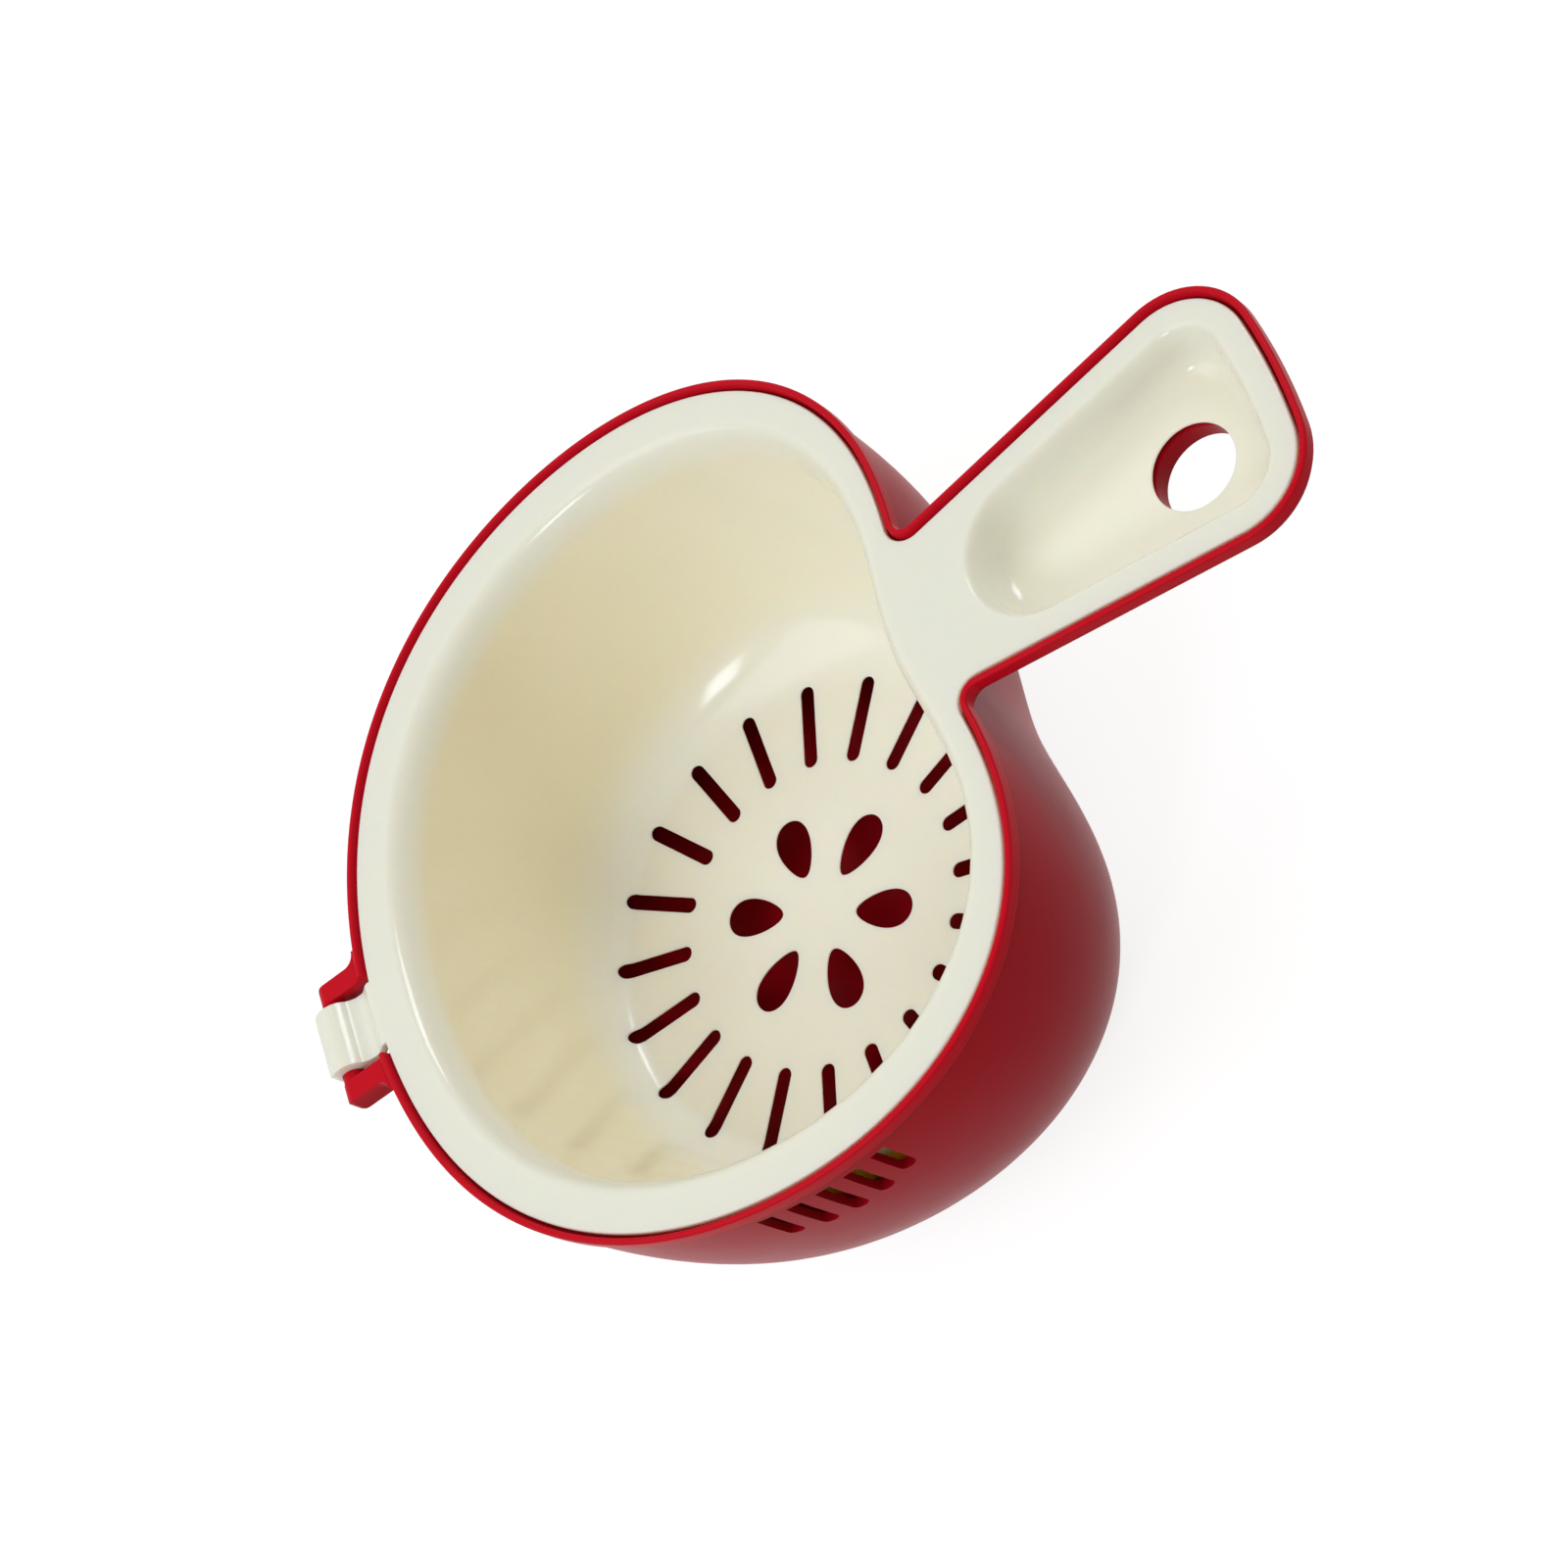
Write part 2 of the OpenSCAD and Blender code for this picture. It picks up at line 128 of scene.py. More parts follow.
def new_tree(name, kind, inputs, outputs):
    """A node tree with named sockets, the values it is given and those it results in."""
    tree = bpy.data.node_groups.new(name, kind)
    for way, sockets in (("INPUT", inputs), ("OUTPUT", outputs)):
        for title, socket_type in sockets:
            tree.interface.new_socket(
                name=title, in_out=way, socket_type="NodeSocket" + socket_type
            )
    given = tree.nodes.new("NodeGroupInput").outputs
    return tree, given, tree.nodes.new("NodeGroupOutput").inputs


def new_piece_tree(name, *sockets):
    """A tree that works on a piece and leaves it in its plastic."""
    inputs = [("Geometry", "Geometry"), ("Plastic", "Material"), *sockets]
    return new_tree(name, "GeometryNodeTree", inputs, [("Geometry", "Geometry")])


def make_apple_radius_tree():
    """Polar radius of the apple outline at a turn, and its change per radian."""
    tree, given, result = new_tree(
        "apple_radius",
        "GeometryNodeTree",
        floats("Turn", *APPLE),
        floats("Radius", "Slope"),
    )
    turn = given["Turn"]
    waves = [given[title] for title in ("Egg", "Oval", "Cheek")]
    spread = given["Dimple Spread"]
    share = calc(tree, "DIVIDE", turn, spread)
    fading = calc(tree, "EXPONENT", product(tree, -1.0, share, share))
    dip = product(tree, given["Dimple"], fading)
    radius = calc(tree, "SUBTRACT", given["Radius"], dip)
    slope = calc(tree, "DIVIDE", product(tree, 2.0, dip, share), spread)
    for number, size in enumerate(waves, 1):
        angle = product(tree, turn, number)
        radius = calc(tree, "MULTIPLY_ADD", size, calc(tree, "COSINE", angle), radius)
        change = product(tree, -number, size)
        slope = calc(tree, "MULTIPLY_ADD", change, calc(tree, "SINE", angle), slope)
    tree.links.new(radius, result["Radius"])
    tree.links.new(slope, result["Slope"])
    return tree


apple_radius_tree = make_apple_radius_tree()


def group_node(tree, group, values):
    """A node group inside a tree, with its named values. Gives back what it puts out."""
    kind = group.bl_idname.replace("Tree", "Group")  # ShaderNodeTree, ShaderNodeGroup
    node = new_node(tree, kind, {}, node_tree=group)
    for title, value in values.items():
        feed(tree, node.inputs[title], value)
    return node.outputs


def apple_rule(tree, given, turn):
    """Radius and slope of the apple's outline inside a tree that is given its sizes."""
    sizes = {title: given[title] for title in APPLE}
    return group_node(tree, apple_radius_tree, {"Turn": turn, **sizes})


def attribute_of(tree, name):
    """A float attribute of the mesh that the tree works on."""
    kind = "GeometryNodeInputNamedAttribute"
    return new_node(tree, kind, {"Name": name}, data_type="FLOAT").outputs["Attribute"]


def make_apple_shell_tree():
    """Lays a stack of rings on the apple's rule: turn, share of the swell, set-out, height."""
    tree, given, result = new_piece_tree(
        "apple_shell", *floats("Floor Radius", "Base Share", *APPLE)
    )
    turn, share, out, height = (
        attribute_of(tree, name) for name in ("turn", "share", "setout", "height")
    )
    radius, slope = apple_rule(tree, given, turn)
    cosine, sine = calc(tree, "COSINE", turn), calc(tree, "SINE", turn)
    along = total_of(tree, product(tree, slope, sine), product(tree, radius, cosine))
    across = calc(
        tree, "SUBTRACT", product(tree, slope, cosine), product(tree, radius, sine)
    )
    push = calc(tree, "DIVIDE", out, length_of(tree, slope, radius))
    rim_x = total_of(tree, product(tree, radius, cosine), product(tree, push, along))
    rim_y = calc(
        tree, "SUBTRACT", product(tree, radius, sine), product(tree, push, across)
    )
    base = given["Base Share"]
    grown = product(tree, calc(tree, "SUBTRACT", 1.0, base), share)
    grown = total_of(tree, base, grown)
    flat = calc(tree, "SUBTRACT", 1.0, share)
    flat = product(tree, given["Floor Radius"], flat)
    x, y = (
        total_of(tree, product(tree, flat, circle_way), product(tree, grown, rim_way))
        for circle_way, rim_way in ((cosine, rim_x), (sine, rim_y))
    )
    place = vector_of(tree, x, y, height)
    moved = {"Geometry": given["Geometry"], "Position": place}
    move = new_node(tree, "GeometryNodeSetPosition", moved)
    finish_tree(tree, move.outputs["Geometry"], given, result)
    return tree


def finish_tree(tree, geometry, given, result):
    """Ends a tree in Realize Instances and Set Material."""
    real = new_node(tree, "GeometryNodeRealizeInstances", {"Geometry": geometry})
    painted = {"Geometry": real.outputs["Geometry"], "Material": given["Plastic"]}
    paint = new_node(tree, "GeometryNodeSetMaterial", painted)
    tree.links.new(paint.outputs["Geometry"], result["Geometry"])


apple_shell_tree = make_apple_shell_tree()


def linked_object(name, mesh):
    """A new object in the scene."""
    piece = bpy.data.objects.new(name, mesh)
    bpy.context.scene.collection.objects.link(piece)
    return piece


def run_tree(piece, tree, values):
    """Runs a tree on a piece with named values, and keeps the plain mesh that comes out."""
    modifier = piece.modifiers.new(tree.name, "NODES")
    modifier.node_group = tree
    for item in tree.interface.items_tree:
        if item.in_out == "INPUT" and item.name in values:
            modifier[item.identifier] = values[item.name]
    settle(piece)


def settle(piece):
    """Turns a piece's modifiers into its own plain mesh."""
    bpy.context.view_layer.update()
    seen = piece.evaluated_get(bpy.context.evaluated_depsgraph_get())
    mesh = bpy.data.meshes.new_from_object(seen)
    piece.modifiers.clear()
    piece.data = mesh


def stacked_body(name, points, rings):
    """A closed body of stacked rings: quads between them and one flat face at each end."""
    around = len(points) // rings
    faces = [tuple(range(around - 1, -1, -1))]
    for k in range(rings - 1):
        for i in range(around):
            a, b = k * around + i, k * around + (i + 1) % around
            faces.append((a, b, b + around, a + around))
    faces.append(tuple((rings - 1) * around + i for i in range(around)))
    mesh = bpy.data.meshes.new(name)
    mesh.from_pydata(points, [], faces)
    return linked_object(name, mesh)


RING_POINTS = 264
STEM_CROWDING = 1.25


def ring_turns():
    """Turns round the apple in radians, closer together at the stem's dimple."""
    half = RING_POINTS // 2
    turns = []
    for i in range(-half + 1, half + 1):
        turns.append(math.copysign(math.pi * abs(i / half) ** STEM_CROWDING, i))
    return turns


def place_values(body, key, row):
    """Writes one number on each point of a body."""
    body.data.attributes.new(key, "FLOAT", "POINT").data.foreach_set("value", row)


def in_metres(sizes):
    """An apple's sizes as the trees want them: metres, and radians for the spread."""
    values = {key: size * MM for key, size in sizes.items()}
    values["Dimple Spread"] = math.radians(sizes["Dimple Spread"])
    return values


def apple_body(name, stations, sizes, floor_radius, base_share, plastic):
    """A closed body whose rings follow the apple's rule. Stations are share, set-out, height."""
    turns = ring_turns()
    rings = len(stations)
    points = [(math.cos(t), math.sin(t), k) for k in range(rings) for t in turns]
    body = stacked_body(name, points, rings)
    rows = {
        "turn": [t for _ in stations for t in turns],
        "share": [s[0] for s in stations for _ in turns],
        "setout": [s[1] * MM for s in stations for _ in turns],
        "height": [s[2] * MM for s in stations for _ in turns],
    }
    for key, row in rows.items():
        place_values(body, key, row)
    values = in_metres(sizes)
    values["Floor Radius"] = floor_radius * MM
    values["Base Share"] = base_share
    values["Plastic"] = plastic
    run_tree(body, apple_shell_tree, values)
    for key in rows:
        body.data.attributes.remove(body.data.attributes[key])
    return body


SIDE_STEPS = 30


def side_stations(out, low, top, fullness):
    """Stations of a side that swells like a superellipse from its floor to its top."""
    stations = []
    for i in range(SIDE_STEPS + 1):
        turn = math.pi / 2 * i / SIDE_STEPS
        run = math.sin(turn) ** (2 / fullness)
        rise = 1 - max(0.0, math.cos(turn)) ** (2 / fullness)
        stations.append((run, out, low + (top - low) * rise))
    return stations


def bowl_body(name, set_out, low, top):
    """The bowl's outside, or the space inside it."""
    stations = side_stations(set_out, low, FLANGE_Z, BOWL_FULLNESS)
    stations.append((1.0, set_out, top))
    return apple_body(name, stations, APPLE, 0.0, BOWL_BASE_SHARE, bowl_plastic)


bowl_plastic = bpy.data.materials.new("red_polypropylene")
bowl = bowl_body("bowl_moulding", WALL_OUT, 0.0, FLANGE_Z + BAND_BITE)
bowl_inside = bowl_body("bowl_inside", WALL_IN, BOWL_FLOOR, LIP_TOP + CUT_PAST)

# ---------------------------------------------------------------- rim and bowl handle
# One lip runs round the bowl and its handle and stands 0.8 mm above the strainer's
# flange. The handle is a plate inside that lip with a tray pressed down for the thumb
# dish above it, and a collar in the tray stiffens the hole it hangs by.

FLANGE_GAP = 0.3  # clearance between the flange's edge and the lip, at the ledge
LIP_DRAFT = 0.6
LIP_ROUND = 0.7
LIP_INNER_ROUND = 0.25
BAND_ROUND = 0.35
SEAT_FLARE = 0.1
LEDGE_TOP = FLANGE_Z - 1.9
LEDGE_LOW = LEDGE_TOP - 1.7
LEDGE_BITE = 0.8  # how far the tray's outside runs up into the ledge
BAND_LOW = LIP_TOP - 3.2
HANDLE_REACH = 145.5
HANDLE_WIDTH = 50.0
HANDLE_TAPER = 8.5
HANDLE_END_R = 120.0
HANDLE_CORNER_R = 14.0
NECK_FILLET = 4.8
DISH_START = 80.6
DISH_MARGIN = 6.0
DISH_RUN = 4.0  # run of the dish's middle line past the hanging hole
DISH_ROLL = 1.6
DISH_EDGE = 0.9  # share of the way out where the side goes over into the roll
DISH_STEEPNESS = 9
# Share of the way to the middle line where the hollow turns flat, and share of the
# depth that the gentle hollow takes: the rest is the steep side.
DISH_FORM = (0.6, 0.25)
TRAY_FORM = (0.5, 0.7)
DISH_FLOOR_Z = FLANGE_Z - 10.3
TRAY_SIDE = 1.7
TRAY_FLOOR = 2.2
TRAY_INNER_Z = DISH_FLOOR_Z - 4.8
TRAY_LOW_Z = TRAY_INNER_Z - TRAY_FLOOR
HANG_X = 123.0
HANG_D = 17.6
COLLAR_WALL = 2.0
COLLAR_ROUND = 0.5
COLLAR_TOP = DISH_FLOOR_Z - 2.2
BORE_ROUND = 0.6
BORE_TOP_ROUND = 0.5
OVER_COLLAR = 0.01
ROUND_MIDDLE = 0.3  # where the middle point of a three-point rounding lies
APPLE_STEPS = 130


def way(degrees):
    """Unit vector at a turn from the X axis."""
    return Vector((math.cos(math.radians(degrees)), math.sin(math.radians(degrees))))


def apple_radius(degrees):
    """Polar radius of the flange's outline at a turn, as in the node tree."""
    turn = math.radians(degrees)
    return (
        APPLE["Radius"] + APPLE["Egg"] * math.cos(turn)
        + APPLE["Oval"] * math.cos(2 * turn)
        + APPLE["Cheek"] * math.cos(3 * turn)
        - APPLE["Dimple"] * math.exp(-((degrees / APPLE["Dimple Spread"]) ** 2))
    )


def apple_normal(degrees):
    """Unit vector that points straight out of the flange's outline at a turn."""
    turn = math.radians(degrees)
    spread = math.radians(APPLE["Dimple Spread"])
    slope = (
        -APPLE["Egg"] * math.sin(turn) - 2 * APPLE["Oval"] * math.sin(2 * turn)
        - 3 * APPLE["Cheek"] * math.sin(3 * turn)
        + APPLE["Dimple"] * math.exp(-((turn / spread) ** 2)) * 2 * turn / spread**2
    )
    along = slope * way(degrees) + apple_radius(degrees) * way(degrees + 90)
    return Vector((along.y, -along.x)).normalized()


def apple_at(degrees, out):
    """A point set out from the flange's outline."""
    return apple_radius(degrees) * way(degrees) + out * apple_normal(degrees)


def arc(centre, radius, start, end, steps):
    """Points on part of a circle, both ends included."""
    return [
        centre + radius * way(start + (end - start) * i / steps)
        for i in range(steps + 1)
    ]


def circle(centre, radius, points=72):
    """Points all round a circle."""
    return [centre + radius * way(360 * i / points) for i in range(points)]


END_C = Vector((HANDLE_REACH - HANDLE_END_R, 0.0))
CORNER_TURN = math.degrees(
    math.asin((HANDLE_WIDTH / 2 - HANDLE_CORNER_R) / (HANDLE_END_R - HANDLE_CORNER_R))
)
CORNER_C = END_C + (HANDLE_END_R - HANDLE_CORNER_R) * way(CORNER_TURN)
SIDE_WAY = way(90 + HANDLE_TAPER)
SIDE_OFF = SIDE_WAY.dot(CORNER_C) + HANDLE_CORNER_R
NOSE_X = (DISH_START + SIDE_OFF - DISH_MARGIN) / (
    1 - math.sin(math.radians(HANDLE_TAPER))
)


def neck_turn():
    """Turn on the apple where the neck's fillet touches it, found by halving."""
    low, high = 4.0, 40.0
    for _ in range(30):
        middle = (low + high) / 2
        centre = apple_at(middle, NECK_FILLET)
        if SIDE_WAY.dot(centre) - SIDE_OFF - NECK_FILLET > 0:
            high = middle
        else:
            low = middle
    return (low + high) / 2


NECK_TURN = neck_turn()
NECK_C = apple_at(NECK_TURN, NECK_FILLET)
NECK_START = 270 + HANDLE_TAPER
NECK_WAY = apple_normal(NECK_TURN)
NECK_SWEEP = 180 + math.degrees(math.atan2(NECK_WAY.y, NECK_WAY.x)) - NECK_START


def whole(half):
    """Both halves of an outline that starts and ends on the axis."""
    return half + [Vector((p.x, -p.y)) for p in half[-2:0:-1]]


def rim_outline(out):
    """The apple and its handle in one outline, set out from the flange edge."""
    half = arc(END_C, HANDLE_END_R + out, 0, CORNER_TURN, 6)
    half += arc(CORNER_C, HANDLE_CORNER_R + out, CORNER_TURN, 90 + HANDLE_TAPER, 18)[1:]
    neck = arc(NECK_C, NECK_FILLET - out, NECK_START, NECK_START + NECK_SWEEP, 14)
    half += neck[:-1]
    for i in range(APPLE_STEPS + 1):
        half.append(apple_at(NECK_TURN + (180 - NECK_TURN) * i / APPLE_STEPS, out))
    return whole(half)


def dish_outline(out):
    """The thumb dish: the handle's end moved in, with a round nose towards the bowl."""
    half = arc(END_C, HANDLE_END_R - DISH_MARGIN + out, 0, CORNER_TURN, 5)
    half += arc(
        CORNER_C,
        HANDLE_CORNER_R - DISH_MARGIN + out,
        CORNER_TURN,
        90 + HANDLE_TAPER,
        14,
    )[1:]
    side = arc(
        Vector((NOSE_X, 0.0)), NOSE_X - DISH_START + out, 90 + HANDLE_TAPER, 180, 20
    )
    start = half[-1]
    half += [start.lerp(side[0], i / 10) for i in range(1, 10)]
    return whole(half + side)


def dish_ring(out, share):
    """The dish's outline, drawn in by a share of the way to its middle line."""
    ring = []
    for p in dish_outline(out):
        middle = Vector((min(max(p.x, NOSE_X), HANG_X + DISH_RUN), 0.0))
        ring.append(p.lerp(middle, share))
    return ring


def loft(name, rings):
    """A closed body through outlines of equal length, each with its height or heights."""
    points = []
    for outline, height in rings:
        heights = height if isinstance(height, list) else [height] * len(outline)
        points += [(p.x * MM, p.y * MM, z * MM) for p, z in zip(outline, heights)]
    return stacked_body(name, points, len(rings))


def rim_body(name, section):
    """A body that follows the rim. Its section is set-out and height."""
    return loft(name, [(rim_outline(out), z) for out, z in section])


def hanging_body(name, rows):
    """A round body about the hanging holes' axis. Its rows are radius and height."""
    axis = Vector((HANG_X, 0.0))
    return loft(name, [(circle(axis, radius), z) for radius, z in rows])


def quarter(steps):
    """Cosine and sine of a quarter turn, from flat to upright."""
    turns = [math.pi / 2 * i / steps for i in range(steps + 1)]
    return [(math.cos(turn), math.sin(turn)) for turn in turns]


def low_round(out, z, radius, steps):
    """A section's lower outer corner, rounded."""
    return [
        (out - radius + radius * s, z + radius - radius * c) for c, s in quarter(steps)
    ]


def top_round(out, z, radius, steps):
    """A section's upper outer corner, rounded."""
    return [
        (out - radius + radius * c, z - radius + radius * s) for c, s in quarter(steps)
    ]


def edge_round(out, z, radius, steps):
    """The upper edge of an opening, rounded."""
    return [(out + radius * (1 - c), z - radius + radius * s) for c, s in quarter(steps)]


def bend(start, corner, end, steps):
    """A rounded corner between two straight runs of a section."""
    corners = list(zip(start, corner, end))
    points = []
    for i in range(steps + 1):
        t = i / steps
        shares = (1 - t) ** 2, 2 * t * (1 - t), t**2
        points.append(
            tuple(shares[0] * a + shares[1] * b + shares[2] * c for a, b, c in corners)
        )
    return points


def dish_body(name, grow, floor_z, top_z, over, form):
    """A dish with a broad, faintly hollow floor, steep sides and a roll round its edge."""
    flat_from, sag = form
    steps = 24
    rows = []
    for i in range(steps + 1):
        t = DISH_EDGE * i / steps
        rise = sag * t**2 + (1 - sag) * t**DISH_STEEPNESS
        rows.append((0.0, flat_from * (1 - t), floor_z + (top_z - floor_z) * rise))
    rows += bend(rows[-1], (0.0, 0.0, top_z), (DISH_ROLL, 0.0, top_z), 8)[1:]
    rows.append((DISH_ROLL, 0.0, top_z + over))
    return loft(name, [(dish_ring(grow + o, s), z) for o, s, z in rows])


def boolean(piece, *steps):
    """Joins to a piece or cuts from it the bodies of each step, and removes them."""
    for operation, *tools in steps:
        for tool in tools:
            modifier = piece.modifiers.new(tool.name, "BOOLEAN")
            modifier.operation = operation
            modifier.object = tool
            modifier.solver = "MANIFOLD"
    settle(piece)
    for _, *tools in steps:
        for tool in tools:
            bpy.data.objects.remove(tool)


rim_section = [(WALL_OUT, LEDGE_LOW), (WALL_OUT, BAND_LOW)]
rim_section += low_round(LIP_OUT, BAND_LOW, BAND_ROUND, 3)
rim_section += top_round(LIP_OUT, LIP_TOP, LIP_ROUND, 6)
rim = rim_body("rim_band", rim_section)
lip_in = FLANGE_GAP + LIP_DRAFT
seat_section = [(FLANGE_GAP, LEDGE_TOP)]
seat_section += edge_round(lip_in, LIP_TOP, LIP_INNER_ROUND, 4)
seat_section.append((lip_in + LIP_INNER_ROUND + SEAT_FLARE, LIP_TOP + CUT_PAST))
seat = rim_body("flange_seat", seat_section)
tray = dish_body(
    "tray_outside",
    TRAY_SIDE + TRAY_FLOOR / 2,
    TRAY_LOW_Z,
    LEDGE_LOW,
    LEDGE_BITE,
    TRAY_FORM,
)
tray_inside = dish_body(
    "tray_inside", TRAY_SIDE, TRAY_INNER_Z, LEDGE_TOP, CUT_PAST, TRAY_FORM
)
collar_out = HANG_D / 2 + COLLAR_WALL
collar = hanging_body(
    "hanging_collar",
    [(collar_out, TRAY_INNER_Z - CUT_PAST)]
    + top_round(collar_out, COLLAR_TOP, COLLAR_ROUND, 4),
)
boolean(tray_inside, ("DIFFERENCE", collar))
bore_rows = (
    (BORE_ROUND, TRAY_LOW_Z - CUT_PAST),
    (BORE_ROUND, TRAY_LOW_Z),
    (ROUND_MIDDLE * BORE_ROUND, TRAY_LOW_Z + ROUND_MIDDLE * BORE_ROUND),
    (0.0, TRAY_LOW_Z + BORE_ROUND),
    (0.0, COLLAR_TOP - BORE_TOP_ROUND),
    (ROUND_MIDDLE * BORE_TOP_ROUND, COLLAR_TOP - ROUND_MIDDLE * BORE_TOP_ROUND),
    (BORE_TOP_ROUND, COLLAR_TOP + OVER_COLLAR),
    (BORE_TOP_ROUND, FLANGE_Z + 2 * CUT_PAST),
)
hang_bore = hanging_body("hanging_bore", [(HANG_D / 2 + g, z) for g, z in bore_rows])
boolean(
    bowl, ("UNION", rim, tray), ("DIFFERENCE", bowl_inside, seat, tray_inside, hang_bore)
)

# ---------------------------------------------------------------- hinge lugs and pin
# Opposite the handle two lugs stand off the rim and carry a plain pin between them.
# Both are moulded with the bowl; the rim between the lugs is cut down so that the
# strainer's tongue can pass.

FLANGE_END_X = -apple_radius(180)
PIN_D = 4.7
PIN_X = FLANGE_END_X - 10.7
PIN_Z = FLANGE_Z - 3.0
PIN_C = Vector((PIN_X, PIN_Z))
PIN_BITE = 0.6  # how far the pin runs into each lug
TONGUE_W = 14.2
LUG_IN = TONGUE_W / 2 + 1.9
LUG_T = 4.5
LUG_NOSE = 2.5
LUG_ROUND = 1.8
LUG_FLARE = 2.6
LUG_LENGTH = 16.2
LUG_EDGE = 0.35
SOFT_FROM = 40  # degrees between two faces whose edge is rounded
HAIR = 0.001  # keeps two faces from falling on each other
NOTCH_REACH = 8.0
NOTCH_LOW = FLANGE_Z - 4.2
NOTCH_TOP = FLANGE_Z + 10.0


def side_prism(name, outline, y0, y1):
    """A body with a section in the X-Z plane, from y0 to y1."""
    points = [(p.x * MM, y * MM, p.y * MM) for y in (y1, y0) for p in outline]
    return stacked_body(name, points, 2)


def cross_bar(name, outline, half):
    """A body with a section in the X-Z plane, as far out on both sides."""
    return side_prism(name, outline, -half, half)


def box(x0, y0, x1, y1):
    """The outline of a rectangle."""
    return [Vector(corner) for corner in ((x0, y0), (x1, y0), (x1, y1), (x0, y1))]


def soften(piece, width):
    """Rounds a body's sharp edges as a mould's polished corners do."""
    modifier = piece.modifiers.new("mould_rounding", "BEVEL")
    modifier.width = width * MM
    modifier.segments = 3
    modifier.limit_method = "ANGLE"
    modifier.angle_limit = math.radians(SOFT_FROM)
    settle(piece)


def lug(side):
    """One lug: a bar with a round nose about the pin, its root flared into the rim."""
    nose = arc(PIN_C, LUG_NOSE, 90, 270, 24)
    far = PIN_X + LUG_LENGTH
    profile = nose + [Vector((far, PIN_Z - LUG_NOSE)), Vector((far, PIN_Z + LUG_NOSE))]
    name = "lug_left" if side > 0 else "lug_right"
    bar = side_prism(name, profile, LUG_IN, LUG_IN + LUG_T + LUG_FLARE)
    root = PIN_X - FLANGE_END_X + LIP_OUT
    deep = LUG_T + LUG_FLARE
    far = LUG_LENGTH + CUT_PAST
    plan = [Vector((-LUG_NOSE - CUT_PAST, -CUT_PAST)), Vector((far, -CUT_PAST))]
    plan.append(Vector((far, deep)))
    plan += arc(Vector((-root - LUG_FLARE, deep)), LUG_FLARE, 360, 270, 10)
    plan += arc(Vector((LUG_ROUND - LUG_NOSE, LUG_T - LUG_ROUND)), LUG_ROUND, 90, 180, 8)
    plan = [Vector((PIN_X + p.x, LUG_IN + p.y)) for p in plan]
    plan[-1].x = PIN_X - LUG_NOSE - HAIR
    mask = loft("lug_plan", [(plan, PIN_Z - 2 * LUG_NOSE), (plan, PIN_Z + 2 * LUG_NOSE)])
    boolean(bar, ("INTERSECT", mask))
    soften(bar, LUG_EDGE)
    if side < 0:
        for vertex in bar.data.vertices:
            vertex.co.y = -vertex.co.y
        bar.data.flip_normals()
    return bar


pin = cross_bar("hinge_pin_core", circle(PIN_C, PIN_D / 2, 48), LUG_IN + PIN_BITE)
notch_plan = box(PIN_X, -LUG_IN, FLANGE_END_X + NOTCH_REACH, LUG_IN)
notch = loft("tongue_notch", [(notch_plan, NOTCH_LOW), (notch_plan, NOTCH_TOP)])
trim = bowl_body("bowl_trim", WALL_IN, BOWL_FLOOR, LIP_TOP + CUT_PAST)
seat_trim = rim_body("seat_trim", seat_section)
boolean(
    bowl,
    ("UNION", lug(1), lug(-1)),
    ("DIFFERENCE", trim, seat_trim, notch),
    ("UNION", pin),
)

# ---------------------------------------------------------------- drain slots
# Five slots under the rim on the side a right hand tips towards the sink. They are cut
# straight through the wall by a slide in the mould: flat tops, round lower ends, and
# the outer ones a little shorter.

DRAIN_COUNT = 5
DRAIN_PITCH = 6.3
DRAIN_W = 3.2
DRAIN_LEN = 13.8
DRAIN_FALL = 0.6
DRAIN_X = 8.0
DRAIN_TOP = BAND_LOW - 3.0
DRAIN_CUT = (-130.0, -30.0)  # from outside the wall to inside the bowl


def real_copies(tree, given, tool, place=(0.0, 0.0, 0.0), turn=(0.0, 0.0, 0.0)):
    """A given number of copies of a cutter, made real, and their points' coordinates."""
    row = {"Count": given["Count"], "Position": place}
    points = new_node(tree, "GeometryNodePoints", row).outputs[0]
    cutter = new_node(tree, "GeometryNodeObjectInfo", {"Object": given[tool]})
    copied = {"Points": points, "Instance": cutter.outputs["Geometry"], "Rotation": turn}
    copies = new_node(tree, "GeometryNodeInstanceOnPoints", copied).outputs["Instances"]
    real = new_node(tree, "GeometryNodeRealizeInstances", {"Geometry": copies})
    where = tree.nodes.new("GeometryNodeInputPosition").outputs[0]
    parts = new_node(tree, "ShaderNodeSeparateXYZ", {"Vector": where})
    return real.outputs["Geometry"], parts.outputs


def cut_away(tree, given, result, cutters, title, vector):
    """Moves the cutters by a last rule, takes them from the piece and ends the tree."""
    moved = {"Geometry": cutters, title: vector}
    move = new_node(tree, "GeometryNodeSetPosition", moved)
    cut = new_node(
        tree,
        "GeometryNodeMeshBoolean",
        {"Mesh 1": given["Geometry"], "Mesh 2": move.outputs["Geometry"]},
        operation="DIFFERENCE",
        solver="MANIFOLD",
    )
    finish_tree(tree, cut.outputs["Mesh"], given, result)


